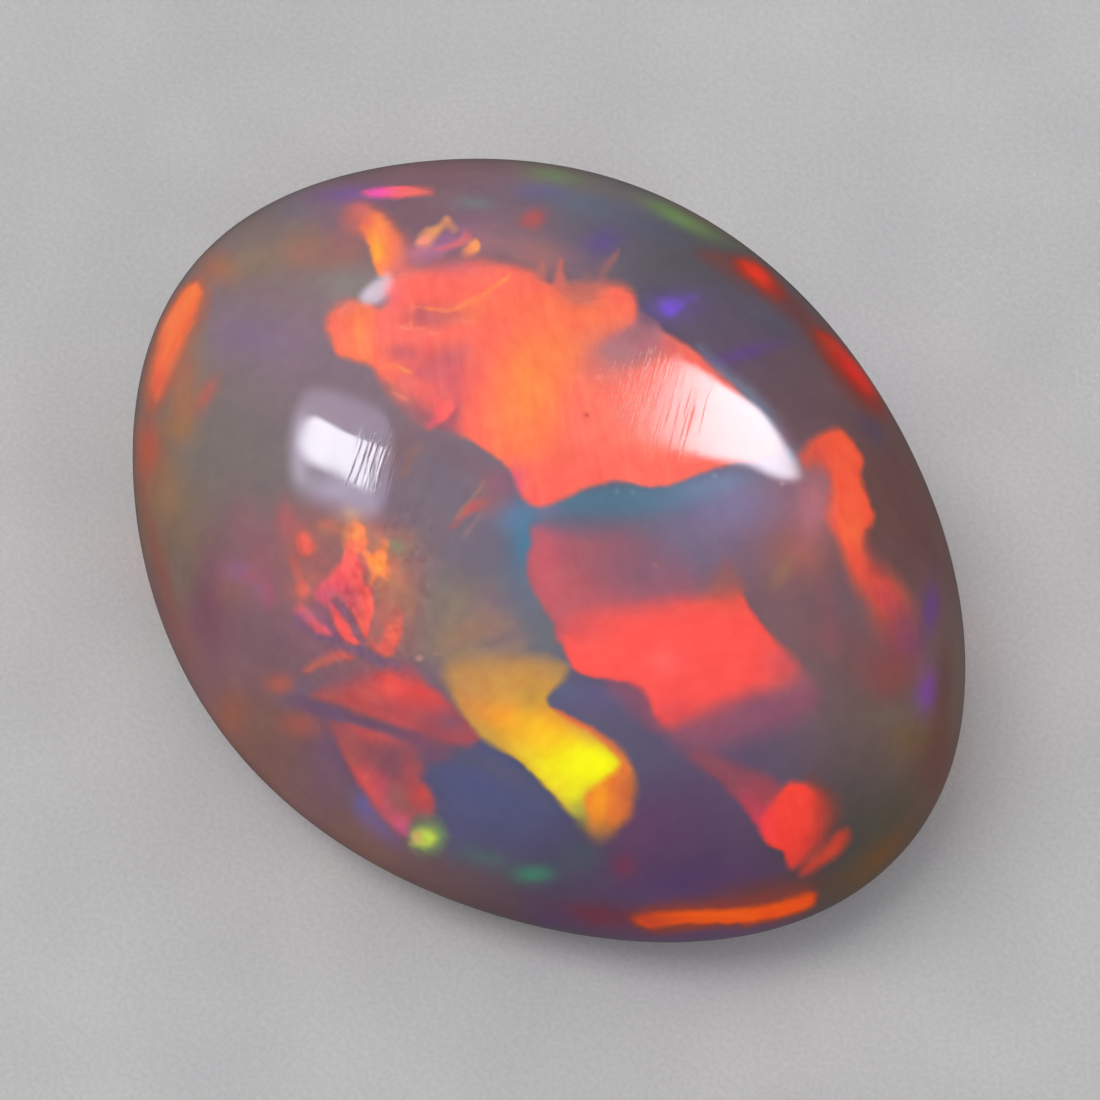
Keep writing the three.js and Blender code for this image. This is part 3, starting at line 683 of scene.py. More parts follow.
domain("star_shard_far", [(294, 610, 7), (300, 603, 5), (307, 607, 4), (315, 616, 3.5), (323, 624, 3), (331, 633, 3), (328, 638, 3),
       (318, 634, 3.5), (308, 625, 4), (300, 616, 5)], 3, (230, 98, 112), [(299, 608, 6, 6, 0, (206, 98, 104), 0.7)], 0.95, 0.8)
domain("star_shard_right", [(369, 645, 5), (373, 636, 8), (380, 625, 9), (388, 615, 8), (397, 609, 7), (403, 614, 5), (403, 630, 4),
       (397, 645, 4), (391, 655, 3.5), (384, 656, 3.5), (375, 651, 3.5)], 3, (216, 100, 90),
       [(393, 640, 6, 9, 15, (240, 104, 86), 0.9), (384, 648, 10, 4, 0, (222, 96, 90), 0.7), (398, 615, 6, 6, 0, (206, 106, 92), 0.7), (380, 632, 4, 8, 25, (206, 100, 92), 0.6)],
       1.0, 0.85)
domain("star_tail", [(303, 670, 4), (309, 664, 5), (318, 658, 6), (334, 651, 6), (349, 649, 5), (356, 654, 4), (349, 660, 4),
       (334, 661, 5), (320, 666, 5), (309, 673, 4)], 4, (204, 102, 90),
       [(344, 655, 10, 5, 0, (216, 96, 92), 0.8), (311, 667, 6, 4, 0, (196, 110, 94), 0.8)], 0.88, 0.6)
domain("dark_ray", [(296, 618, 6), (312, 628, 5), (330, 637, 4), (346, 646, 3), (362, 646, 3), (380, 656, 4), (398, 662, 6), (396, 669, 8),
       (376, 666, 7), (356, 656, 5), (338, 648, 5), (320, 640, 6)], 4, (122, 96, 126), (), 0.75, 0.1)

domain("hook_haze", [(486, 478, 10), (500, 472, 10), (508, 482, 10), (508, 498, 10), (500, 512, 12), (484, 516, 10), (478, 502, 8), (480, 488, 8)], 9,
       (152, 108, 120), [(502, 484, 8, 8, 0, (150, 106, 134), 0.8), (488, 494, 8, 8, 0, (160, 112, 112), 0.7)], 0.6, 0.2, lean=-50)
domain("hook_streak", [(451, 526, 6), (456, 517, 5), (462, 509, 4), (469, 502, 4), (478, 499, 4), (488, 500, 6), (488, 506, 6), (479, 511, 4),
       (468, 515, 4), (461, 520, 5), (455, 527, 6)], 4, (190, 100, 100), [(466, 510, 9, 5, -40, (198, 100, 98), 0.8), (455, 522, 6, 6, 0, (166, 104, 108), 0.8),
                                                                             (486, 503, 6, 5, 0, (168, 106, 108), 0.8)], 0.9, 0.5, lean=-48)
domain("hook_thread", [(455, 517, 2.5), (462, 507, 2), (470, 498, 2), (479, 488, 3), (486, 480, 5), (484, 487, 3), (474, 498, 2.5), (465, 508, 2.5),
       (458, 516, 2.5)], 3, (168, 126, 108), (), 0.75, 0.4, lean=-48)
domain("hook_streak_low", [(462, 537, 4), (468, 527, 3), (475, 518, 3), (484, 510, 3), (483, 516, 3), (474, 526, 3), (467, 536, 4)], 3,
       (154, 122, 124), (), 0.7, 0.3, lean=-48)
domain("thread_by_left_light", [(397, 476, 5), (403, 466, 4), (409, 455, 4), (415, 446, 4), (422, 446, 5), (415, 459, 4), (408, 470, 4), (402, 477, 5)], 4,
       (152, 112, 104), (), 0.7, 0.3, lean=-58)

domain("dark_line_lower_left", [(292, 696, 9), (312, 701, 6), (330, 706, 5), (350, 712, 4), (370, 720, 3.5), (390, 727, 3.5), (408, 733, 4),
       (424, 738, 6), (420, 745, 7), (400, 738, 4), (380, 732, 3.5), (360, 724, 4), (340, 718, 5), (318, 715, 7), (300, 708, 9)], 4,
       (120, 86, 112), [(325, 709, 22, 8, 15, (118, 94, 122), 0.6)], 0.9, 0.1)
domain("green_fleck_halo", [(412, 826, 8), (422, 816, 9), (434, 818, 9), (443, 826, 8), (446, 838, 8), (440, 850, 7), (426, 854, 7),
       (412, 847, 7)], 6, (126, 152, 96), [(438, 830, 7, 8, 0, (116, 162, 96), 0.8), (424, 820, 10, 6, 0, (134, 130, 100), 0.8)], 0.85, 0.6)
domain("green_fleck", [(411, 837, 6), (416, 830, 6), (425, 828, 6), (433, 831, 6), (437, 838, 6), (432, 846, 5), (424, 848, 5),
       (415, 845, 5)], 4, (188, 206, 86), [(427, 838, 7, 5, 0, (196, 220, 80), 0.9), (415, 837, 5, 6, 0, (208, 172, 104), 0.8)],
       1.0, 0.8)

# The yellow domain.
domain("yellow_domain", [(447, 664, 14), (462, 657, 13), (486, 655, 11), (516, 655, 11), (546, 658, 10), (567, 665, 6),
       (566, 676, 6), (558, 686, 5), (549, 696, 4), (549, 704, 3), (557, 711, 3), (574, 721, 3.5), (592, 731, 4),
       (608, 742, 5), (620, 753, 6), (628, 766, 7), (631, 779, 7), (631, 792, 7), (628, 804, 8), (622, 815, 10), (611, 826, 12),
       (602, 833, 13), (594, 834, 13), (588, 832, 12), (582, 828, 9), (575, 819, 6), (566, 810, 4), (556, 800, 3.5), (545, 787, 3.5),
       (533, 774, 3), (520, 763, 3), (508, 754, 3), (494, 746, 5), (481, 738, 5), (470, 725, 4), (460, 712, 4),
       (452, 697, 7), (447, 686, 10), (444, 675, 12)], 4, (204, 148, 76),
       [(500, 662, 60, 9, 0, (180, 136, 94), 0.85), (450, 684, 14, 26, -28, (178, 132, 90), 0.8), (470, 690, 20, 12, 0, (202, 144, 84), 0.7),
        (558, 668, 12, 9, 0, (176, 136, 90), 0.8), (520, 686, 14, 14, 0, (208, 152, 74), 0.8), (480, 713, 16, 9, 30, (230, 148, 70), 0.8),
        (508, 720, 17, 11, 20, (255, 160, 50), 0.95), (532, 708, 7, 18, 4, (186, 150, 72), 0.95), (548, 700, 12, 8, 0, (206, 158, 66), 0.6),
        (494, 738, 20, 6, 35, (204, 160, 74), 0.8), (512, 742, 16, 6, 35, (224, 162, 60), 0.8),
        (546, 726, 20, 13, 20, (255, 176, 44), 0.95), (560, 738, 26, 9, 20, (255, 196, 34), 0.8), (545, 750, 26, 12, 35, (255, 194, 36), 0.95),
        (540, 768, 26, 7, 40, (246, 214, 46), 0.8), (556, 782, 22, 8, 45, (250, 226, 50), 0.9),
        (595, 763, 27, 13, 12, (255, 255, 16), 1.0), (582, 770, 20, 14, 0, (255, 255, 8), 1.0), (564, 766, 16, 10, 0, (255, 246, 24), 0.9),
        (574, 792, 8, 12, 10, (246, 240, 30), 0.95), (577, 812, 8, 9, 30, (190, 184, 68), 0.95), (583, 828, 9, 9, 0, (128, 124, 82), 0.95),
        (558, 806, 8, 4, 50, (200, 160, 60), 0.6)],
       1.0, 1.0, lean=-38, grain=0.5)
domain("orange_piece", [(617, 770, 6), (624, 764, 6), (631, 770, 7), (635, 783, 7), (634, 800, 7), (629, 816, 8), (618, 827, 9), (608, 836, 12),
       (598, 838, 13), (591, 830, 11), (588, 814, 6), (585, 801, 5), (591, 790, 5), (604, 780, 5)], 6, (248, 130, 46),
       [(599, 802, 6, 26, 0, (254, 158, 36), 0.95), (623, 792, 8, 24, 0, (216, 110, 62), 0.85), (604, 830, 10, 9, 0, (188, 118, 66), 0.8),
        (634, 790, 5, 28, 0, (176, 96, 70), 0.7), (600, 838, 10, 5, 0, (150, 106, 76), 0.8)], 0.97, 1.0, lean=-85)
domain("yellow_rim_line", [(552, 707, 2.5), (570, 716, 3), (590, 727, 4), (607, 738, 5), (621, 750, 6), (630, 764, 7),
       (626, 772, 6), (619, 758, 5), (605, 743, 4), (588, 732, 3.5), (569, 722, 3)], 3, (238, 112, 64), (), 0.85, 1.0)
for k, (x, y, w, a) in enumerate([(486, 606, 4, 0.34), (508, 626, 4, 0.42), (462, 594, 5, 0.26), (522, 645, 4, 0.34), (500, 614, 3, 0.3)]):
    # pale rays fanning out above the yellow domain
    dx, dy = x - 434, y - 656
    long = math.hypot(dx, dy)
    ax, ay = -dy / long, dx / long
    domain(f"fan_ray_{k}", [(434, 656, 2), (434 + dx * 0.5 + ax * 2, 656 + dy * 0.5 + ay * 2, w), (x + ax * 5, y + ay * 5, w + 3),
           (x - ax * 5, y - ay * 5, w + 3), (434 + dx * 0.5 - ax * 2, 656 + dy * 0.5 - ay * 2, w)], 3, (172, 138, 112), (), a, 0.2)
domain("pale_grain", [(415, 658, 3), (419, 655, 3), (423, 658, 3), (419, 661, 3)], 3, (196, 150, 138), (), 0.8, 0.3)

# The red domain right of the middle.
domain("red_domain_foot", [(606, 678, 8), (626, 680, 8), (642, 688, 6), (650, 702, 5), (656, 718, 5), (660, 732, 6), (650, 732, 8), (636, 718, 12),
       (622, 702, 12), (610, 690, 10)], 8, (150, 84, 104), (), 0.7, 0.4)
domain("red_domain", [(562, 634, 7), (572, 620, 15), (600, 614, 15), (630, 608, 13), (664, 602, 12), (700, 597, 10),
       (724, 590, 9), (738, 590, 5), (747, 603, 4), (757, 617, 4), (767, 630, 4), (778, 643, 6), (790, 656, 10),
       (797, 669, 12), (786, 682, 14), (760, 691, 14), (730, 701, 14), (706, 711, 13), (682, 721, 12), (665, 726, 10),
       (655, 714, 5), (649, 701, 5), (641, 690, 6), (626, 682, 4), (604, 679, 3), (586, 676, 3), (573, 668, 3),
       (567, 656, 3), (564, 645, 4)], 5, (255, 86, 80),
       [(600, 650, 30, 22, 0, (255, 94, 86), 0.8), (668, 661, 13, 12, 0, (255, 102, 100), 0.9),
        (730, 604, 24, 9, 0, (232, 88, 74), 0.8), (720, 640, 50, 20, 0, (255, 86, 76), 0.5), (650, 610, 40, 8, -6, (220, 90, 90), 0.5),
        (784, 664, 12, 14, 0, (212, 88, 94), 0.85), (672, 712, 16, 10, -20, (226, 78, 84), 0.8),
        (640, 688, 10, 5, 30, (236, 82, 84), 0.6), (576, 628, 20, 9, 0, (222, 92, 96), 0.8)],
       1.0, 0.95, lean=-10, grain=0.4)
domain("red_domain_upper_glow", [(704, 594, 12), (714, 576, 12), (728, 562, 12), (738, 576, 6), (745, 594, 6), (724, 600, 8)], 8,
       (170, 96, 88), (), 0.65, 0.5)

# Lower right.
domain("lower_right_tail", [(688, 755, 8), (700, 749, 8), (722, 757, 9), (746, 768, 9), (774, 778, 8), (786, 800, 6),
       (780, 830, 6), (770, 846, 4), (760, 832, 4), (748, 814, 4), (734, 797, 5), (718, 781, 5), (702, 768, 6)], 6,
       (146, 76, 90), [(750, 803, 12, 12, 40, (190, 68, 88), 0.9), (760, 822, 9, 12, 20, (228, 62, 88), 0.95),
                       (706, 760, 14, 8, 20, (144, 82, 94), 0.6), (766, 790, 10, 10, 0, (170, 72, 80), 0.6)], 0.92, 0.5, lean=45)
domain("lower_right_blob_halo", [(806, 778, 8), (822, 784, 8), (838, 798, 8), (840, 818, 9), (832, 838, 9), (818, 856, 8), (804, 866, 7), (806, 830, 6)], 8,
       (136, 70, 62), (), 0.8, 0.3)
domain("lower_right_blob", [(767, 810, 7), (775, 798, 8), (783, 788, 6), (791, 782, 5), (803, 782, 5), (813, 788, 7), (822, 796, 9),
       (827, 808, 10), (825, 826, 9), (818, 842, 9), (809, 854, 8), (801, 864, 7), (791, 869, 5), (786, 860, 4), (783, 851, 3),
       (775, 848, 3), (766, 841, 4), (762, 830, 5), (762, 819, 6)], 5, (255, 67, 54),
       [(796, 802, 14, 20, 0, (255, 72, 58), 0.7), (768, 826, 7, 14, 0, (255, 66, 74), 0.8),
        (822, 814, 7, 26, 0, (190, 66, 56), 0.9), (812, 842, 7, 12, 30, (206, 62, 54), 0.7), (794, 858, 8, 8, 0, (222, 62, 54), 0.8)], 1.0, 0.95, lean=70)
domain("lower_right_streak", [(800, 875, 6), (806, 863, 6), (818, 851, 6), (830, 839, 6), (841, 830, 6), (848, 829, 6), (850, 836, 6), (846, 845, 6),
       (836, 856, 6), (824, 865, 6), (811, 874, 6)], 6, (196, 66, 52), [(836, 846, 12, 5, -42, (214, 68, 48), 0.8), (848, 834, 6, 6, 0, (176, 66, 52), 0.6)],
       0.97, 0.7, lean=-40)
domain("bottom_streak_halo", [(628, 916, 8), (660, 904, 8), (720, 900, 8), (770, 894, 9), (806, 886, 9), (818, 894, 6),
       (814, 908, 5), (770, 924, 5), (700, 930, 5), (650, 933, 6)], 7, (150, 58, 40), (), 0.75, 0.5, lean=0)
domain("bottom_streak", [(634, 920, 7), (646, 914, 5), (670, 911, 4), (700, 910, 4), (728, 910, 4), (748, 908, 5), (768, 904, 5),
       (788, 899, 5), (804, 895, 5), (813, 894, 5), (814, 903, 5), (804, 910, 4), (784, 916, 4), (758, 922, 4),
       (728, 924, 3), (696, 924, 3), (664, 926, 3), (646, 928, 4)], 4, (228, 79, 15),
       [(778, 906, 40, 9, -14, (242, 80, 4), 0.8), (720, 915, 22, 5, 0, (244, 92, 12), 0.8), (650, 920, 14, 6, 0, (186, 60, 36), 0.8)],
       1.0, 0.9, lean=0)


# Small soft marks over the domains: x, y, half width, half height, lean, colour, amount.
FLECKS = [
    # haze and fibres beside the star
    (398, 546, 8, 5, 0, (146, 142, 112), 0.85), (395, 534, 12, 3.5, 4, (164, 114, 110), 0.7), (408, 539, 4, 6, 0, (162, 112, 108), 0.6),
    (377, 533, 5, 8, -20, (196, 116, 104), 0.6), (374, 540, 4, 7, 0, (176, 124, 110), 0.7), (394, 567, 5, 5, 0, (200, 116, 100), 0.7),
    (401, 580, 4, 8, -30, (190, 120, 100), 0.7), (388, 586, 9, 4, 30, (188, 124, 96), 0.7), (383, 597, 5, 9, 10, (172, 112, 100), 0.7),
    (390, 603, 5, 8, 25, (186, 112, 100), 0.6), (379, 616, 4, 12, 18, (196, 106, 98), 0.65), (404, 598, 6, 9, -20, (174, 122, 102), 0.6),
    (411, 606, 4, 9, 0, (168, 122, 98), 0.6), (398, 614, 8, 3.5, -40, (164, 106, 102), 0.5), (378, 633, 3, 8, 15, (150, 110, 106), 0.7),
    (396, 594, 3, 8, -25, (160, 108, 100), 0.5), (350, 514, 9, 5, 0, (186, 146, 118), 0.7), (330, 528, 7, 4, 0, (204, 118, 96), 0.6),
    (330, 546, 8, 12, 0, (158, 110, 102), 0.5), (324, 566, 8, 10, 0, (176, 104, 102), 0.55), (313, 578, 7, 5, 20, (198, 104, 98), 0.6),
    (297, 572, 3.5, 12, -14, (204, 104, 94), 0.7), (303, 592, 7, 6, 0, (230, 106, 94), 0.6), (288, 521, 5, 8, 0, (180, 100, 104), 0.7),
    (289, 591, 5, 5, 0, (164, 106, 104), 0.6), (304, 617, 6, 5, 0, (160, 102, 136), 0.6), (343, 608, 3, 4, 0, (152, 104, 138), 0.5),
    (336, 596, 7, 4, 20, (170, 100, 116), 0.6), (322, 612, 6, 6, 0, (162, 104, 120), 0.5),
    # marks in the coral
    (405, 328, 5, 1.6, 8, (255, 146, 118), 0.75), (411, 324, 1.6, 3, 0, (255, 142, 116), 0.45), (417, 329, 4, 1.4, 0, (255, 138, 114), 0.6),
    (430, 333, 5, 1.5, -6, (255, 140, 116), 0.7), (464, 321, 7, 1.4, 6, (248, 136, 112), 0.6), (411, 306, 1.6, 3, 0, (255, 144, 118), 0.4),
    (421, 312, 3, 6, 0, (190, 100, 104), 0.5), (434, 321, 7, 2, -10, (206, 104, 102), 0.5), (448, 315, 6, 2.5, -14, (204, 106, 106), 0.5),
    (395, 351, 6, 3, 10, (206, 106, 112), 0.55), (410, 356, 5, 3, -10, (212, 106, 110), 0.5), (433, 362, 4, 9, 30, (206, 98, 106), 0.5),
    (462, 350, 5, 6, 0, (208, 100, 108), 0.5), (456, 374, 4, 12, 10, (204, 98, 110), 0.5), (444, 390, 4, 10, 20, (212, 98, 106), 0.45),
    (424, 386, 7, 4, -20, (250, 112, 104), 0.5), (414, 380, 5, 2.5, 20, (255, 126, 112), 0.5), (402, 397, 6, 2, 28, (236, 130, 112), 0.5),
    (470, 368, 3, 14, 6, (240, 106, 100), 0.4), (392, 376, 5, 4, 0, (255, 118, 100), 0.5),
    # left flank
    (242, 572, 6, 5, 0, (150, 102, 140), 0.8), (250, 577, 6, 5, 20, (172, 100, 114), 0.75), (264, 590, 4, 9, -18, (168, 102, 122), 0.75),
    (257, 588, 5, 5, 0, (148, 106, 138), 0.5), (262, 560, 9, 14, 0, (160, 100, 106), 0.55), (281, 684, 9, 6, -20, (178, 98, 84), 0.85),
    (232, 715, 8, 14, 0, (156, 96, 76), 0.75), (300, 724, 12, 7, 10, (168, 92, 86), 0.75), (262, 722, 9, 12, 0, (134, 108, 90), 0.6),
    (184, 372, 9, 12, 0, (170, 108, 90), 0.7), (180, 396, 7, 16, 0, (172, 110, 88), 0.65), (207, 394, 5, 12, 32, (188, 104, 92), 0.75),
    (215, 268, 9, 10, 30, (172, 110, 88), 0.4), (184, 580, 8, 10, 0, (128, 112, 92), 0.6),
    # texture in the lower left reds
    (372, 772, 5, 14, -30, (228, 90, 96), 0.55), (366, 780, 3, 10, -25, (242, 94, 88), 0.5), (384, 786, 5, 10, 0, (206, 84, 104), 0.5),
    (394, 768, 9, 9, 0, (140, 88, 100), 0.55), (410, 778, 6, 12, 0, (182, 84, 90), 0.5), (396, 794, 6, 6, 0, (162, 104, 100), 0.6),
    (404, 806, 6, 5, 0, (158, 106, 96), 0.6), (424, 796, 6, 8, -20, (212, 82, 76), 0.6), (381, 736, 14, 4, 16, (200, 88, 88), 0.55),
    (352, 744, 5, 10, -10, (182, 92, 86), 0.5), (373, 758, 8, 7, 0, (160, 84, 92), 0.6), (360, 712, 8, 4, 10, (186, 88, 82), 0.5),
    (410, 722, 10, 5, 20, (188, 82, 90), 0.5), (388, 682, 4, 9, 0, (238, 90, 82), 0.5), (362, 694, 3, 8, 0, (206, 92, 80), 0.5),
    (400, 700, 5, 9, -30, (222, 82, 84), 0.4), (420, 738, 12, 5, 10, (152, 82, 104), 0.6), (450, 737, 9, 6, 0, (176, 86, 92), 0.55),
    (438, 757, 12, 5, -8, (146, 84, 100), 0.6), (415, 838, 4, 5, 0, (214, 176, 112), 0.5),
    # specks and pits in the polish; the pale specks are painted glints
    (650, 352, 1.6, 3.2, 10, (232, 176, 170), 0.6), (761, 463, 4.0, 1.2, -28, (120, 110, 134), 0.8), (744, 465, 2.2, 1.0, -20, (120, 120, 146), 0.6),
    (714, 476, 2.0, 1.6, 0, (160, 168, 190), 0.5), (617, 491, 1.6, 2.0, 0, (120, 150, 168), 0.6), (634, 492, 1.4, 1.4, 0, (124, 150, 166), 0.6),
    (598, 377, 2.2, 1.8, 0, (255, 152, 136), 0.6), (630, 375, 2.0, 2.4, 0, (255, 150, 136), 0.6), (655, 566, 2.4, 1.2, 40, (168, 118, 118), 0.6),
    (782, 484, 1.8, 1.6, 0, (214, 176, 200), 0.6), (417, 553, 2.6, 1.2, -50, (142, 138, 148), 0.6),
]


def drawn(u, v, p):
    """The ground and the fire at sheet places u, v: colours from 0 to 255, the fire's share, lift and grain."""
    total = np.full(len(u), 0.02)
    ground = np.full((len(u), 3), 1.0) * np.array([110.0, 98.0, 108.0]) * 0.02
    # the body colour, with its painted shade, blended from the broad zones
    for x, y, reach, colour in BODY_TONE_AND_SHADE:
        w = np.exp(-((u - x) ** 2 + (v - y) ** 2) / (2.0 * (reach * 0.8) ** 2))
        total += w
        ground += w[:, None] * np.array(colour, float)
    ground /= total[:, None]
    for x, y, rx, ry, lean, colour, amount in TINTS:
        ground = blend(ground, colour, spot(u, v, x, y, rx, ry, lean) * amount)
    fire, lit = ground.copy(), np.zeros(len(u))
    fibre = spot(u, v, 376, 584, 42, 66, 10)
    lift, lean_x, lean_y, grain = np.zeros(len(u)), np.zeros(len(u)), np.ones(len(u)), np.zeros(len(u))
    # a slight waver, so that no edge is a clean curve
    wu = u + 2.6 * (noise(p, 0.21, 5) - 0.5) + 1.6 * (noise(p, 0.09, 6) - 0.5)
    wv = v + 2.6 * (noise(p, 0.21, 7) - 0.5) + 1.6 * (noise(p, 0.09, 8) - 0.5)
    wu = wu + fibre * 3.6 * (noise(p, 0.12, 9) - 0.5)
    wv = wv + fibre * 3.6 * (noise(p, 0.12, 10) - 0.5)
    for d in DOMAINS:
        m = within(wu, wv, d["line"]) * d["opacity"]
        at = np.nonzero(m > 0.001)[0]
        if not len(at):
            continue
        c = np.full((len(at), 3), 1.0) * np.array(d["colour"], float)
        for x, y, rx, ry, lean, colour, amount in d["spots"]:
            c = blend(c, colour, spot(u[at], v[at], x, y, rx, ry, lean) * amount)
        a = m[at]
        fire[at] += (c - fire[at]) * a[:, None]
        vivid = smooth((c.max(1) - c.min(1) - 20.0) / 90.0)
        lit[at] += (vivid - lit[at]) * a
        lift[at] += (d["lift"] - lift[at]) * a
        cx, cy = math.cos(math.radians(d["lean"])), math.sin(math.radians(d["lean"]))
        lean_x[at] += (cx - lean_x[at]) * a
        lean_y[at] += (cy - lean_y[at]) * a
        grain[at] += (d["grain"] - grain[at]) * a
    # fibres and mottling through the star of shards
    shade = 0.6 * noise(p, 0.11, 21) + 0.4 * noise(p, 0.065, 22) - 0.5
    fire *= 1 + fibre[:, None] * shade[:, None] * np.array([0.30, 0.40, 0.34])
    for x, y, rx, ry, lean, colour, amount in FLECKS:
        near = np.nonzero(np.hypot(u - x, v - y) < 3.2 * max(rx, ry))[0]
        a = spot(wu[near], wv[near], x, y, rx, ry, lean) * amount
        fire[near] = blend(fire[near], colour, a)
        lit[near] += (smooth((max(colour) - min(colour) - 20.0) / 90.0) - lit[near]) * a
    return fire, lit, lift, grain, lean_x, lean_y


# ---------------------------------------------------------------- domains on the sides the main view doesn't show
RANDOM = np.random.default_rng(20417)
HUES = [
    ((255, 92, 78), (255, 124, 92), 0.36), ((232, 76, 84), (206, 84, 112), 0.14), ((255, 132, 66), (255, 166, 72), 0.16),
    ((246, 196, 48), (252, 236, 60), 0.07), ((120, 176, 84), (176, 206, 84), 0.08), ((74, 136, 158), (104, 154, 176), 0.08),
    ((112, 88, 188), (146, 96, 196), 0.11),
]


def hidden_domains():
    """Domains for the far side, the lower flank and the base, as outlines in planes that touch the stone."""
    out = []
    for k in range(96):
        if k < 78:
            run = RANDOM.uniform(3.0, RUN_RIM + 0.3)
            angle = AZIMUTH + math.pi / 2 + RANDOM.uniform(-1.9, 1.9)
        else:
            run = RUN_RIM + (RUN_END - RUN_RIM) * (1 - math.sqrt(RANDOM.uniform(0.02, 1.0)))
            angle = RANDOM.uniform(0, 2 * math.pi)
        c = skin(np.array([run]), np.array([angle]))
        n = skin_normals(np.array([run]), np.array([angle]), c)[0]
        a = np.cross(n, (0.3, 0.2, 0.93) if abs(n[2]) < 0.9 else (1.0, 0.1, 0.0))
        a /= np.linalg.norm(a)
        b = np.cross(n, a)
        spin = RANDOM.uniform(0, 2 * math.pi)
        a, b = a * math.cos(spin) + b * math.sin(spin), b * math.cos(spin) - a * math.sin(spin)
        size = 22 + 74 * RANDOM.beta(1.3, 2.6)
        long, flat = RANDOM.uniform(1.0, 1.7), RANDOM.uniform(0.55, 1.0)
        corners = int(RANDOM.integers(7, 13))
        fade = RANDOM.uniform(0, 2 * math.pi)
        line = []
        for i in range(corners):
            t = 2 * math.pi * (i + RANDOM.uniform(-0.25, 0.25)) / corners
            r = size * RANDOM.uniform(0.62, 1.16)
            soft = 3.5 + 0.34 * size * max(0.0, math.cos(t - fade)) ** 1.6
            line.append((r * long * math.cos(t), r * flat * math.sin(t), soft))
        pick = RANDOM.choice(len(HUES), p=[h[2] for h in HUES])
        one, two, _ = HUES[pick]
        dim = RANDOM.uniform(0.5, 1.0) ** 0.6
        spots = [(RANDOM.uniform(-0.5, 0.5) * size, RANDOM.uniform(-0.4, 0.4) * size, RANDOM.uniform(0.25, 0.6) * size,
                  RANDOM.uniform(0.15, 0.4) * size, RANDOM.uniform(0, 180), two, RANDOM.uniform(0.5, 1.0)) for _ in range(2)]
        spots.append((math.cos(fade) * size * 0.7, math.sin(fade) * size * 0.5, 0.5 * size, 0.5 * size, 0.0, (150, 96, 108), 0.6))
        out.append((c[0], n, a, b, rounded(line), one, spots, dim, size))
    return sorted(out, key=lambda d: d[7])


HIDDEN = hidden_domains()


def invented(p, n, quiet):
    """The same as drawn, for points p of the stone with outward normals n; quiet holds domains back from the view's edge."""
    grey = np.array([(140, 118, 128), (112, 104, 124), (126, 114, 110), (104, 90, 98), (124, 96, 114)], float)
    weights = np.stack([noise(p, 2.4, 31 + i) ** 6 + 1e-4 for i in range(5)], 1)
    fire = (weights @ grey) / weights.sum(1)[:, None]
    for seed, colour in ((51, (112, 92, 160)), (52, (150, 122, 92)), (53, (92, 126, 140)), (54, (168, 104, 104))):
        fire = blend(fire, colour, 0.5 * smooth((noise(p, 1.3, seed) - 0.62) / 0.3))
    lit, lift = np.zeros(len(p)), np.zeros(len(p))
    lean_x, lean_y, grain = np.zeros(len(p)), np.ones(len(p)), np.zeros(len(p))
    for c, m, a, b, line, one, spots, dim, size in HIDDEN:
        d = p - c
        near = (np.abs(d).max(1) < 3.4) & ((n @ m) > 0.2)
        at = np.nonzero(near)[0]
        if not len(at):
            continue
        q = p[at]
        u = (d[at] @ a) * 61.5 + 5 * (noise(q, 0.3, 61) - 0.5) + 3 * (noise(q, 0.12, 62) - 0.5)
        v = (d[at] @ b) * 61.5 + 5 * (noise(q, 0.3, 63) - 0.5) + 3 * (noise(q, 0.12, 64) - 0.5)
        k = within(u, v, line) * dim * (1 - quiet[at])
        colour = np.full((len(at), 3), 1.0) * np.array(one, float)
        for x, y, rx, ry, lean, two, amount in spots:
            colour = blend(colour, two, spot(u, v, x, y, rx, ry, lean) * amount)
        fire[at] += (colour - fire[at]) * k[:, None]
        vivid = smooth((colour.max(1) - colour.min(1) - 20.0) / 90.0)
        lit[at] += (vivid - lit[at]) * k
        lift[at] += (dim - lift[at]) * k
        grain[at] += (1.0 - grain[at]) * k
    return fire, lit, lift, grain, lean_x, lean_y


def circled(x, wide):
    """Values round the stone, eased over their neighbours."""
    return sum(np.roll(x, k) for k in range(-wide, wide + 1)) / (2 * wide + 1)


def last_seen():
    """For each way round the stone, how far down the profile the view reaches, and the sheet place there."""
    around = 480
    runs, angle = np.linspace(2.5, RUN_RIM, 130), np.arange(around) * 2 * math.pi / around
    r, a = (x.ravel() for x in np.meshgrid(runs, angle, indexing="ij"))
    q, n, p = under(r, a)
    u, v, cosine = (x.reshape(len(runs), around) for x in seen_at(q))
    d = p - EYE
    facing = (-(n * d).sum(1) / np.linalg.norm(d, axis=1)).reshape(len(runs), around)
    hidden = (cosine < 0.10) | (facing < -0.16)
    last = np.maximum(np.where(hidden.any(0), hidden.argmax(0), len(runs)) - 1, 0)
    column = np.arange(around)
    return [circled(x, 2) for x in (runs[last], u[last, column], v[last, column])]


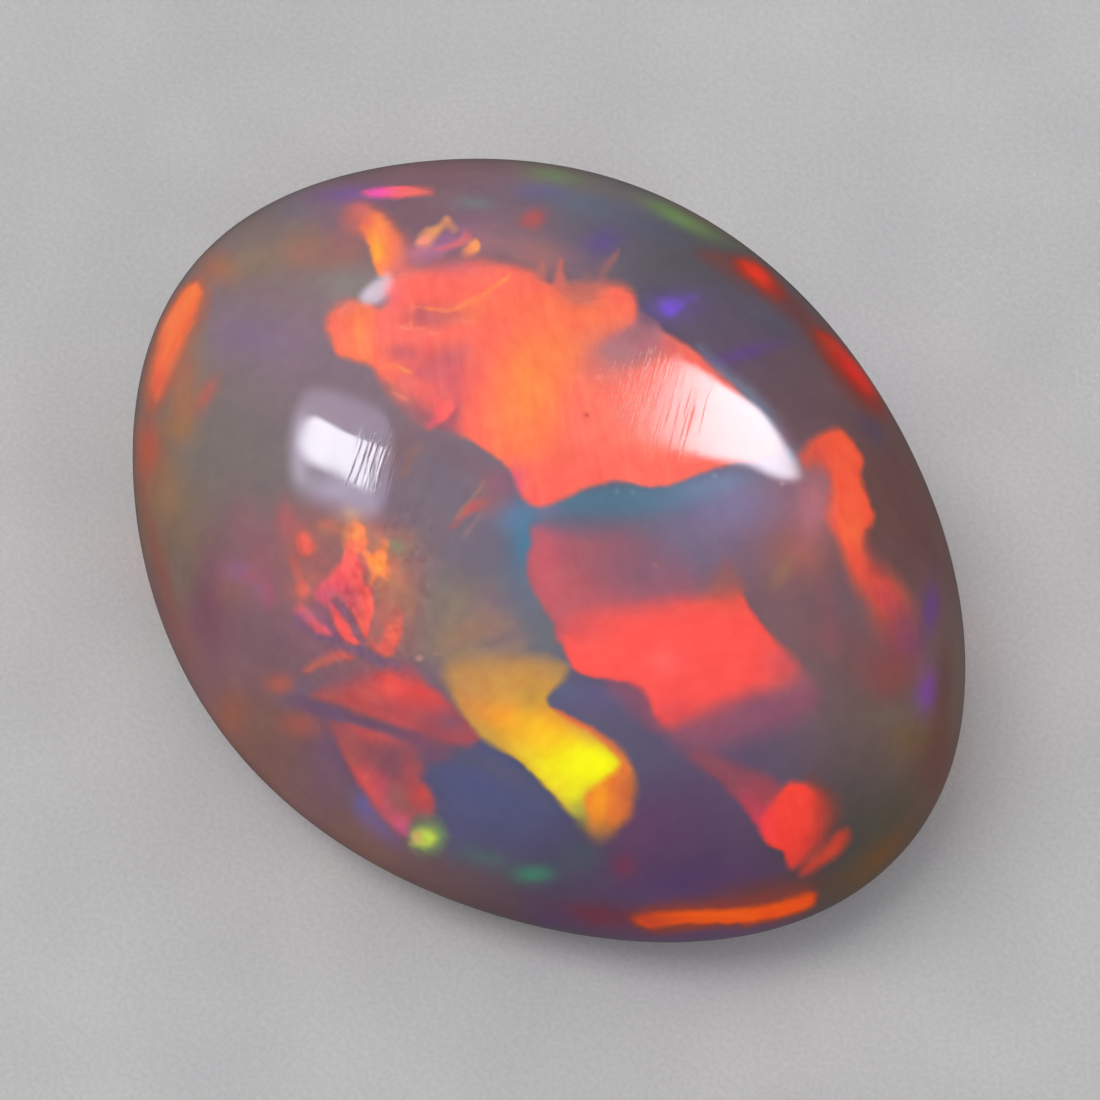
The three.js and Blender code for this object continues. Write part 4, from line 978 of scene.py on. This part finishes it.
def painted(run, angle, q, n, p):
    """The drawn and the invented fire for points q under the skin points p, joined past where the view ends."""
    u, v, cosine = seen_at(q)
    edge_run, edge_u, edge_v = (np.interp(angle % (2 * math.pi), np.arange(len(x) + 1) * 2 * math.pi / len(x), np.append(x, x[0]))
                                for x in EDGE)
    past = run - edge_run
    u, v = np.where(past > 0, edge_u, u), np.where(past > 0, edge_v, v)
    waver = 1.1 * (noise(p, 0.5, 81) - 0.5)
    seen = 1 - smooth((past - 0.15 + waver * (past > 0)) / 1.5)
    out = [x.copy() for x in invented(p, n, 1 - smooth((past - 0.2) / 1.1))]
    at = np.nonzero(seen > 0.001)[0]
    shown = list(drawn(u[at], v[at], p[at]))
    # painted light: the drawn colours a little brighter, and their glow stronger, where the view grazes the stone, to
    # make up for the light lost there
    shown[0] = shown[0] * (1 + 0.05 * (1 - smooth(cosine[at] / 0.7)))[:, None]
    shown[1] = shown[1] * (1 + 0.9 * (1 - smooth(cosine[at] / 0.66)))
    for mine, other in zip(out, shown):
        w = seen[at] if mine.ndim == 1 else seen[at][:, None]
        mine[at] += (other - mine[at]) * w
    return out, seen


# ---------------------------------------------------------------- meshes
def ring_points(step, low, high):
    out = []
    for k, run in enumerate(np.arange(low, high, step * 0.866)):
        n = max(6, int(round(2 * math.pi * float(np.interp(run, _run, _rho)) * _mean / step)))
        out.append(np.stack([np.full(n, run), (np.arange(n) + 0.5 * (k % 2)) * 2 * math.pi / n], 1))
    return np.concatenate(out)


def depth_at(run):
    return FIRE_DEPTH + (BASE_DEPTH - FIRE_DEPTH) * smooth((run - RUN_GIRDLE + 1.6) / 2.6)


def under(run, angle, lift=0.0):
    """Points of the fire body, with the skin points and normals above them."""
    p = skin(run, angle)
    n = skin_normals(run, angle, p)
    return p - n * (depth_at(run) - FIRE_LIFT * lift)[:, None], n, p


EDGE = last_seen()


def new_mesh(name, points, faces):
    mesh = bpy.data.meshes.new(name)
    mesh.from_pydata([tuple(p) for p in points], [], faces)
    mesh.update()
    return mesh


def add(name, mesh, material):
    mesh.materials.append(material)
    mesh.polygons.foreach_set("use_smooth", [True] * len(mesh.polygons))
    o = bpy.data.objects.new(name, mesh)
    bpy.context.scene.collection.objects.link(o)
    return o


def skin_mesh():
    """The polished surface: rings of points from the crown to the rim of the base, and a flat base."""
    around = 320
    runs = np.concatenate([np.linspace(0.0, RUN_GIRDLE, 91)[1:],
                           np.linspace(RUN_GIRDLE, RUN_RIM, 25)[1:],
                           np.linspace(RUN_RIM, RUN_END, 7)[1:-1]])
    angle = np.arange(around) * 2 * math.pi / around
    points = [np.array([[0.0, 0.0, HEIGHT]])] + [skin(np.full(around, r), angle) for r in runs] + [np.array([[0.0, 0.0, 0.0]])]
    points = np.concatenate(points)
    faces, n = [], len(runs)
    for j in range(around):
        k = (j + 1) % around
        faces.append((0, 1 + j, 1 + k))
        for i in range(n - 1):
            a, b = 1 + i * around, 1 + (i + 1) * around
            faces.append((a + j, b + j, b + k, a + k))
        last = 1 + (n - 1) * around
        faces.append((last + j, len(points) - 1, last + k))
    mesh = new_mesh("opal_skin", to_metres(points), faces)
    # how far each place is worn: two patches that the work left, and hardly any elsewhere
    worn = 0.12 * smooth((noise(points, 2.2, 81) - 0.52) / 0.16)
    for (x, y), inner, reach, most in (((658, 404), 0.6, 1.35, 0.95), ((364, 462), 0.3, 0.8, 1.0)):
        far = np.linalg.norm(points - mirrored([x], [y])[0][0], axis=1)
        worn = np.maximum(worn, most * np.clip((reach - far) / (reach - inner), 0.0, 1.0))
    layer = mesh.attributes.new("worn", "FLOAT", "POINT")
    layer.data.foreach_set("value", np.ascontiguousarray(worn, np.float32))
    return mesh


def interpolated(grid, runs, run, angle):
    """Values at (run, angle) from a grid over runs and even angles."""
    i = np.clip(np.interp(run, runs, np.arange(len(runs))), 0, len(runs) - 1.001)
    a = (angle / (2 * math.pi) * grid.shape[1]) % grid.shape[1]
    i0, j0 = i.astype(int), a.astype(int)
    fi, fj = i - i0, a - j0
    j1 = (j0 + 1) % grid.shape[1]
    j0 %= grid.shape[1]
    return ((grid[i0, j0] * (1 - fi) + grid[i0 + 1, j0] * fi) * (1 - fj)
            + (grid[i0, j1] * (1 - fi) + grid[i0 + 1, j1] * fi) * fj)


def fire_points():
    """Places (run, angle) for the fire body's points, close together where its colours change."""
    coarse = ring_points(0.115, 0.0, RUN_RIM - 0.05)
    budget = 92000
    fine = ring_points(0.034, 0.02, RUN_RIM - 0.05)
    runs = np.linspace(0.02, RUN_RIM, 260)
    around = 620
    angle = np.arange(around) * 2 * math.pi / around
    r, a = (x.ravel() for x in np.meshgrid(runs, angle, indexing="ij"))
    q, n, p = under(r, a)
    out, seen = painted(r, a, q, n, p)
    colour = out[0].reshape(len(runs), around, 3)
    g = p.reshape(len(runs), around, 3)
    along = np.abs(np.diff(colour, axis=0)).sum(2) / np.maximum(np.linalg.norm(np.diff(g, axis=0), axis=2), 1e-6)
    turned = np.abs(np.roll(colour, -1, 1) - colour).sum(2) / np.maximum(np.linalg.norm(np.roll(g, -1, 1) - g, axis=2), 1e-3)
    steep = np.zeros((len(runs), around))
    steep[:-1] = along
    steep[1:] = np.maximum(steep[1:], along)
    steep = np.maximum(np.maximum(steep, turned), np.roll(turned, 1, 1))
    for _ in range(2):
        steep = np.maximum(steep, (np.roll(steep, 1, 1) + np.roll(steep, -1, 1)) * 0.45)
        steep[1:] = np.maximum(steep[1:], steep[:-1] * 0.9)
        steep[:-1] = np.maximum(steep[:-1], steep[1:] * 0.9)
    steep *= 0.45 + 0.55 * seen.reshape(len(runs), around)
    wanted = interpolated(steep, runs, fine[:, 0], fine[:, 1])
    room = budget - len(coarse)
    least = np.partition(wanted, -room)[-room]
    near = interpolated(steep, runs, coarse[:, 0], coarse[:, 1]) > least
    return np.concatenate([coarse[~near], fine[wanted > least]])


def fire_mesh():
    """The closed body of the fire, with its colours and grain as attributes."""
    places = fire_points()
    rim = 300
    rim_angle = np.arange(rim) * 2 * math.pi / rim
    places = np.concatenate([places, np.stack([np.full(rim, RUN_RIM), rim_angle], 1)])
    flat = places[:, 0][:, None] * np.stack([np.cos(places[:, 1]), np.sin(places[:, 1])], 1)
    verts, _, faces, back = delaunay_2d_cdt([Vector(x) for x in flat], [], [], 0, 1e-7)[:4]
    order = np.array([b[0] for b in back])
    where = places[order]
    faces = [tuple(f) for f in faces]
    rim_at = {int(o) - (len(places) - rim): i for i, o in enumerate(order) if o >= len(places) - rim}
    # the base: its own net of points inside the rim
    step = 0.15
    inner = ring_points(step, RUN_RIM + step * 0.7, RUN_END - step * 0.5)
    base_places = np.concatenate([np.stack([np.full(rim, RUN_RIM), rim_angle], 1), inner, [[RUN_END, 0.0]]])
    base_flat = skin(base_places[:, 0], base_places[:, 1])[:, :2]
    bverts, _, bfaces, bback = delaunay_2d_cdt([Vector(x) for x in base_flat], [], [], 0, 1e-7)[:4]
    border = np.array([b[0] for b in bback])
    new_at, count = {}, len(where)
    extra = []
    for i, o in enumerate(border):
        if o < rim:
            new_at[i] = rim_at[int(o)]
        else:
            new_at[i] = count
            extra.append(o)
            count += 1
    where = np.concatenate([where, base_places[np.array(extra)]])
    faces += [tuple(new_at[i] for i in reversed(f)) for f in bfaces]
    run, angle = where[:, 0], where[:, 1]
    q, n, p = under(run, angle)
    first, _ = painted(run, angle, q, n, p)
    # the domains' tops are eased into the ground over a few points
    edges = np.array([(f[i], f[(i + 1) % len(f)]) for f in faces for i in range(len(f))])
    lift, degree = first[2], np.bincount(edges[:, 0], minlength=len(run)).astype(float)
    for _ in range(10):
        total = np.bincount(edges[:, 0], weights=lift[edges[:, 1]], minlength=len(run))
        lift = 0.4 * lift + 0.6 * total / np.maximum(degree, 1)
    lift = lift + 0.25 * (noise(p, 0.5, 71) - 0.5) + 0.12 * (noise(p, 0.18, 72) - 0.5)
    q, n, p = under(run, angle, lift)
    (colour, lit, _, grain, lean_x, lean_y), seen = painted(run, angle, q, n, p)
    mesh = new_mesh("play_of_colour", to_metres(q), faces)

    def keep(name, kind, values):
        layer = mesh.attributes.new(name, kind, "POINT")
        layer.data.foreach_set({"FLOAT_COLOR": "color", "FLOAT": "value", "FLOAT_VECTOR": "vector"}[kind],
                               np.ascontiguousarray(values, np.float32).ravel())

    s = np.clip(colour / 255.0, 0.0, 1.0)
    plain = np.where(s <= 0.04045, s / 12.92, ((s + 0.055) / 1.055) ** 2.4)
    keep("tint", "FLOAT_COLOR", np.concatenate([plain, np.ones((len(s), 1))], 1))
    keep("fire_share", "FLOAT", lit)
    # the grain runs along each domain's own lean: places in mm along and across it
    along = RIGHT[None] * lean_x[:, None] - UP[None] * lean_y[:, None]
    across = RIGHT[None] * lean_y[:, None] + UP[None] * lean_x[:, None]
    keep("grain_place", "FLOAT_VECTOR", np.stack([(p * along).sum(1), (p * across).sum(1), grain], 1))
    return mesh


# ---------------------------------------------------------------- materials
def nodes_of(name):
    material = bpy.data.materials.new(name)
    material.use_nodes = True
    tree = material.node_tree
    tree.nodes.clear()
    return material, tree


def node(tree, kind, **values):
    n = tree.nodes.new(kind)
    for key, value in values.items():
        if hasattr(n, key) and not key.startswith("in_"):
            setattr(n, key, value)
        else:
            n.inputs[key[3:].replace("_", " ")].default_value = value
    return n


def link(tree, a, b):
    tree.links.new(a, b)


def mix_colour(tree, kind, factor, a, b):
    m = tree.nodes.new("ShaderNodeMix")
    m.data_type, m.blend_type, m.clamp_factor = "RGBA", kind, True
    for socket, value in ((m.inputs[0], factor), (m.inputs[6], a), (m.inputs[7], b)):
        if isinstance(value, bpy.types.NodeSocket):
            tree.links.new(value, socket)
        else:
            socket.default_value = value
    return m.outputs[2]


def maths(tree, kind, *values):
    m = tree.nodes.new("ShaderNodeMath")
    m.operation = kind
    for socket, value in zip(m.inputs, values):
        if isinstance(value, bpy.types.NodeSocket):
            tree.links.new(value, socket)
        else:
            socket.default_value = value
    return m.outputs[0]


def ranged(tree, value, a, b, low, high):
    m = tree.nodes.new("ShaderNodeMapRange")
    m.clamp = True
    tree.links.new(value, m.inputs[0])
    for socket, x in zip(m.inputs[1:5], (a, b, low, high)):
        socket.default_value = x
    return m.outputs[0]


def noise_node(tree, vector, scale, detail=2.0, rough=0.5, kind="FBM"):
    n = tree.nodes.new("ShaderNodeTexNoise")
    n.inputs["Scale"].default_value = scale
    n.inputs["Detail"].default_value = detail
    n.inputs["Roughness"].default_value = rough
    tree.links.new(vector, n.inputs["Vector"])
    return n.outputs["Fac"]


def fire_material():
    """The milky ground and the play of colour in it."""
    material, tree = nodes_of("play_of_colour")
    out = tree.nodes.new("ShaderNodeOutputMaterial")
    shader = tree.nodes.new("ShaderNodeBsdfPrincipled")
    place = tree.nodes.new("ShaderNodeTexCoord").outputs["Object"]
    tint = node(tree, "ShaderNodeAttribute", attribute_name="tint").outputs["Color"]
    lit = node(tree, "ShaderNodeAttribute", attribute_name="fire_share").outputs["Fac"]
    grain = node(tree, "ShaderNodeAttribute", attribute_name="grain_place").outputs["Vector"]
    part = tree.nodes.new("ShaderNodeSeparateXYZ")
    link(tree, grain, part.inputs[0])
    # milky clouds in the ground
    cloud = noise_node(tree, place, 1100.0, 2.0, 0.55)
    fine = noise_node(tree, place, 5200.0, 1.0, 0.5)
    veil = maths(tree, "ADD", maths(tree, "MULTIPLY", cloud, 0.7), maths(tree, "MULTIPLY", fine, 0.3))
    ground = mix_colour(tree, "MULTIPLY", 1.0, tint, mix_colour(tree, "MIX", ranged(tree, veil, 0.3, 0.7, 0.0, 1.0),
                        (0.90, 0.91, 0.94, 1), (1.10, 1.08, 1.05, 1)))
    # streaks and mottling inside the domains, along each one's own lean
    stretched = tree.nodes.new("ShaderNodeCombineXYZ")
    link(tree, maths(tree, "MULTIPLY", part.outputs[0], 0.9), stretched.inputs[0])
    link(tree, maths(tree, "MULTIPLY", part.outputs[1], 5.0), stretched.inputs[1])
    streak = noise_node(tree, stretched.outputs[0], 1.3, 2.0, 0.6)
    mottle = noise_node(tree, place, 2600.0, 2.0, 0.6)
    uneven = maths(tree, "SUBTRACT", ranged(tree, streak, 0.32, 0.68, 0.0, 1.0), 0.5)
    hot = mix_colour(tree, "MULTIPLY", 1.0, tint, mix_colour(tree, "MIX", maths(tree, "MULTIPLY_ADD", uneven, part.outputs[2], 0.5),
                     (0.98, 0.90, 0.92, 1), (1.02, 1.09, 1.02, 1)))
    hot = mix_colour(tree, "MULTIPLY", 1.0, hot, mix_colour(tree, "MIX", ranged(tree, mottle, 0.3, 0.7, 0.0, 1.0),
                     (0.95, 0.90, 0.92, 1), (1.04, 1.08, 1.04, 1)))
    both = mix_colour(tree, "MIX", lit, ground, hot)
    link(tree, mix_colour(tree, "MULTIPLY", 1.0, both, mix_colour(tree, "MIX", lit, (1, 1, 1, 1), (0.88, 0.88, 0.88, 1))), shader.inputs["Base Color"])
    share_of_glow = maths(tree, "MULTIPLY_ADD", lit, 0.17, 0.17)
    link(tree, mix_colour(tree, "MULTIPLY", 1.0, both, share_of_glow), shader.inputs["Emission Color"])
    shader.inputs["Emission Strength"].default_value = 1.0
    shader.inputs["Roughness"].default_value = 0.6
    shader.inputs["Specular IOR Level"].default_value = 0.15
    link(tree, shader.outputs[0], out.inputs[0])
    # the glow is faint: light bounces find it, and its many faces aren't sampled as lamps
    material.cycles.emission_sampling = "NONE"
    return material


def skin_material():
    """Clear opal: a clean polish, with fine lines left by the work in two worn patches and hardly any elsewhere."""
    material, tree = nodes_of("clear_opal")
    out = tree.nodes.new("ShaderNodeOutputMaterial")
    shader = tree.nodes.new("ShaderNodeBsdfPrincipled")
    place = tree.nodes.new("ShaderNodeTexCoord").outputs["Object"]
    way = RIGHT * -0.28 - UP * 0.96
    side = np.cross(way, BACK)
    rows = []
    for axis, scale in ((way, 1000.0), (side, 24000.0), (BACK, 900.0)):
        dot = tree.nodes.new("ShaderNodeVectorMath")
        dot.operation = "DOT_PRODUCT"
        link(tree, place, dot.inputs[0])
        dot.inputs[1].default_value = tuple(float(x) * scale for x in axis)
        rows.append(dot.outputs["Value"])
    lined = tree.nodes.new("ShaderNodeCombineXYZ")
    for value, socket in zip(rows, lined.inputs):
        link(tree, value, socket)
    lines = noise_node(tree, lined.outputs[0], 1.0, 2.0, 0.6)
    pits = noise_node(tree, place, 5200.0, 0.0, 0.5)
    pit = ranged(tree, pits, 0.86, 0.90, 0.0, 1.0)
    shader.inputs["Base Color"].default_value = (0.985, 0.98, 0.985, 1)
    shader.inputs["Transmission Weight"].default_value = 1.0
    shader.inputs["IOR"].default_value = OPAL_IOR
    shader.inputs["Specular IOR Level"].default_value = 0.5
    worn = node(tree, "ShaderNodeAttribute", attribute_name="worn").outputs["Fac"]
    scratch = maths(tree, "MULTIPLY", ranged(tree, lines, 0.505, 0.63, 0.0, 0.46), worn)
    rough = maths(tree, "ADD", maths(tree, "ADD", scratch, 0.02), maths(tree, "MULTIPLY", pit, 0.06))
    link(tree, rough, shader.inputs["Roughness"])
    height = maths(tree, "MULTIPLY", lines, worn)
    bump = tree.nodes.new("ShaderNodeBump")
    bump.inputs["Strength"].default_value = 1.0
    bump.inputs["Distance"].default_value = 0.0000022
    link(tree, height, bump.inputs["Height"])
    link(tree, bump.outputs[0], shader.inputs["Normal"])
    # lamps and soft light reach the fire through the skin
    clear = tree.nodes.new("ShaderNodeBsdfTransparent")
    clear.inputs[0].default_value = (0.93, 0.92, 0.93, 1)
    path = tree.nodes.new("ShaderNodeLightPath")
    through = maths(tree, "MAXIMUM", path.outputs["Is Shadow Ray"], path.outputs["Is Diffuse Ray"])
    mix = tree.nodes.new("ShaderNodeMixShader")
    link(tree, through, mix.inputs[0])
    link(tree, shader.outputs[0], mix.inputs[1])
    link(tree, clear.outputs[0], mix.inputs[2])
    link(tree, mix.outputs[0], out.inputs[0])
    return material


def floor_material():
    material, tree = nodes_of("pale_floor")
    out = tree.nodes.new("ShaderNodeOutputMaterial")
    shader = tree.nodes.new("ShaderNodeBsdfPrincipled")
    place = tree.nodes.new("ShaderNodeTexCoord").outputs["Object"]
    grit = noise_node(tree, place, 12000.0, 1.0, 0.6)
    broad = noise_node(tree, place, 320.0, 1.0, 0.6)
    colour = mix_colour(tree, "MIX", ranged(tree, grit, 0.3, 0.7, 0.0, 1.0), (0.545, 0.54, 0.53, 1), (0.60, 0.595, 0.585, 1))
    colour = mix_colour(tree, "MULTIPLY", 1.0, colour, mix_colour(tree, "MIX", ranged(tree, broad, 0.3, 0.7, 0.0, 1.0),
                        (0.95, 0.95, 0.96, 1), (1.03, 1.03, 1.02, 1)))
    link(tree, colour, shader.inputs["Base Color"])
    shader.inputs["Roughness"].default_value = 0.85
    shader.inputs["Specular IOR Level"].default_value = 0.25
    link(tree, shader.outputs[0], out.inputs[0])
    return material


# ---------------------------------------------------------------- the stone
skin_piece = add("opal_skin", skin_mesh(), skin_material())
fire_piece = add("play_of_colour", fire_mesh(), fire_material())
print("meshes after", round(time.time() - BEGAN, 1), "s:", len(skin_piece.data.vertices), len(fire_piece.data.vertices), "points")
for piece in (skin_piece, fire_piece):
    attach(piece, "root")
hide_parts("opal_cabochon")

# ---------------------------------------------------------------- floor
half = 0.6
floor_mesh = new_mesh("floor", [(-half, -half, 0), (half, -half, 0), (half, half, 0), (-half, half, 0)], [(0, 1, 2, 3)])
floor = bpy.data.objects.new("floor", floor_mesh)
floor_mesh.materials.append(floor_material())
bpy.context.scene.collection.objects.link(floor)
floor.visible_glossy = False


# ---------------------------------------------------------------- light
def panel(name, box, level, away, step=4.0):
    """A light panel that's mirrored in the dome: level gives its colour at each place of the sheet inside the box."""
    x0, y0, x1, y1 = box
    xs, ys = np.arange(x0, x1 + step, step), np.arange(y0, y1 + step, step)
    u, v = (a.ravel() for a in np.meshgrid(xs, ys))
    s, r = mirrored(u, v)
    face = r.mean(0)
    face /= np.linalg.norm(face)
    hang = s.mean(0) + face * away
    place = s + r * (((hang - s) @ face) / (r @ face))[:, None]
    colours = level(u, v)
    w = len(xs)
    faces = [(i, i + 1, i + 1 + w, i + w) for i in (j * w + k for j in range(len(ys) - 1) for k in range(w - 1))]
    faces = [f for f in faces if colours[list(f)].max() > 0.004]
    mesh = new_mesh(name, to_metres(place), faces)
    layer = mesh.attributes.new("level", "FLOAT_COLOR", "POINT")
    layer.data.foreach_set("color", np.concatenate([colours, np.ones((len(colours), 1))], 1).astype(np.float32).ravel())
    material, tree = nodes_of(name)
    out = tree.nodes.new("ShaderNodeOutputMaterial")
    glow = tree.nodes.new("ShaderNodeEmission")
    link(tree, node(tree, "ShaderNodeAttribute", attribute_name="level").outputs["Color"], glow.inputs[0])
    glow.inputs[1].default_value = 1 / 0.0325
    both = tree.nodes.new("ShaderNodeAddShader")
    link(tree, glow.outputs[0], both.inputs[0])
    link(tree, tree.nodes.new("ShaderNodeBsdfTransparent").outputs[0], both.inputs[1])
    link(tree, both.outputs[0], out.inputs[0])
    material.cycles.emission_sampling = "NONE"
    mesh.materials.append(material)
    o = bpy.data.objects.new(name, mesh)
    bpy.context.scene.collection.objects.link(o)
    for ray in ("camera", "diffuse", "transmission", "volume_scatter", "shadow"):
        setattr(o, "visible_" + ray, False)
    return o


def soft_shape(u, v, line, soft=6.0):
    """Membership in an outline whose points may carry their own softness."""
    return within(u, v, rounded([(p[0], p[1], p[2] if len(p) > 2 else soft) for p in line]))


def left_light(u, v):
    box = soft_shape(u, v, [(304, 430, 9), (309, 419, 6), (318, 418, 3), (330, 424, 2), (350, 434, 2), (366, 440, 2), (377, 444, 2), (383, 448, 1.5),
                            (382, 456, 2), (377, 467, 2), (372, 479, 2), (367, 489, 3), (360, 488, 4), (351, 482, 6),
                            (338, 474, 7), (322, 467, 7), (309, 461, 8), (303, 452, 9), (301, 440, 9)])
    fall = 0.82 + 0.18 * smooth((u - 298) / 26)
    halo = soft_shape(u, v, [(306, 394, 10), (326, 391, 9), (350, 397, 10), (376, 408, 9), (389, 424, 4), (391, 460, 3), (388, 491, 5), (381, 510, 7),
                             (369, 520, 10), (340, 512, 16), (304, 494, 16), (290, 470, 9), (291, 430, 9)])
    veil = (0.72 + 0.70 * np.exp(-((u - 299) / 8) ** 2) * smooth((v - 398) / 30) * (1 - smooth((v - 478) / 16))
            + 0.35 * np.exp(-((u - 388) / 3.5) ** 2) * smooth((v - 430) / 50) + 0.45 * np.exp(-((u - 366) / 18) ** 2 - ((v - 501) / 13) ** 2)
            + 0.80 * np.exp(-((u - 335) / 26) ** 2 - ((v - 491) / 13) ** 2))
    return box[:, None] * fall[:, None] * np.array([0.57, 0.58, 0.61]) + (halo * veil)[:, None] * np.array([0.140, 0.130, 0.185])


def small_light(u, v):
    box = soft_shape(u, v, [(360, 298, 5), (365, 290, 4), (373, 283, 4), (381, 277, 5), (389, 274, 6), (391, 282, 6), (388, 291, 5), (383, 299, 5),
                            (374, 303, 5), (366, 303, 6)])
    fade = 0.66 - 0.14 * smooth((u - 372) / 14)
    return (box * fade)[:, None] * np.array([0.46, 0.44, 0.54])


def right_light(u, v):
    # the broad light on the right: a wedge, full at its tip and fading to the left
    wedge = soft_shape(u, v, [(612, 384, 18), (634, 377, 14), (654, 371, 11), (674, 362, 8), (690, 364, 5), (706, 373, 4), (720, 383, 4), (740, 396, 4),
                              (759, 410, 4), (773, 427, 5), (785, 446, 6), (796, 464, 7), (800, 476, 7), (788, 479, 6), (769, 473, 7),
                              (749, 464, 6), (730, 461, 6), (702, 456, 6), (684, 451, 7), (664, 446, 10), (640, 444, 14), (612, 430, 18)])
    fade = np.interp(u - 0.28 * np.maximum(402 - v, 0), (590, 615, 630, 645, 655, 665, 675, 685, 695, 705, 715, 735, 762, 776, 788, 800, 808),
                     (0.0, 0.02, 0.05, 0.10, 0.20, 0.28, 0.37, 0.45, 0.50, 0.57, 0.62, 0.65, 0.66, 0.64, 0.50, 0.28, 0.12))
    tone = smooth((u - 650) / 90)[:, None]
    colour = (1 - tone) * np.array([1.0, 0.94, 1.03]) + tone * np.array([1.0, 0.97, 1.08])
    return (wedge * fade)[:, None] * colour


panel("light_left", (268, 380, 408, 532), left_light, 150.0, 2.0)
panel("light_small", (348, 262, 410, 318), small_light, 150.0)
panel("light_right", (552, 318, 816, 496), right_light, 150.0)


def lamp(name, way, away, size, watts, colour=(1, 1, 1)):
    """A soft area lamp that shines at the stone and isn't mirrored in it."""
    data = bpy.data.lights.new(name, "AREA")
    data.shape, data.size, data.energy, data.color = "DISK", size, watts, colour
    o = bpy.data.objects.new(name, data)
    way = Vector(way).normalized()
    o.location = way * away + Vector((0, 0, 0.003))
    o.rotation_euler = way.to_track_quat("Z", "Y").to_euler()
    bpy.context.scene.collection.objects.link(o)
    o.visible_glossy = o.visible_transmission = False
    return o


lamp("key", RIGHT * -0.45 + UP * 0.55 + BACK * 0.75, 0.30, 0.16, 0.33, (1.0, 0.99, 0.98))
lamp("fill", RIGHT * 0.60 - UP * 0.55 + BACK * 0.65, 0.34, 0.20, 0.20, (0.97, 0.97, 1.0))

world = bpy.data.worlds.new("studio")
bpy.context.scene.world = world
world.use_nodes = True
sky = world.node_tree.nodes["Background"]
seen_in_skin = world.node_tree.nodes.new("ShaderNodeLightPath").outputs["Is Glossy Ray"]
link(world.node_tree, mix_colour(world.node_tree, "MIX", seen_in_skin, (0.94, 0.95, 1.0, 1), (1.0, 0.92, 0.88, 1)), sky.inputs[0])
link(world.node_tree, ranged(world.node_tree, seen_in_skin, 0.0, 1.0, 0.58, 0.085), sky.inputs[1])

world.cycles.sampling_method = "NONE"

scene = bpy.context.scene
scene.view_settings.view_transform = "Standard"
scene.view_settings.look = "None"
scene.view_settings.exposure = 0.0
scene.view_settings.gamma = 1.0

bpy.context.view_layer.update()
print("scene made in", round(time.time() - BEGAN, 1), "s")
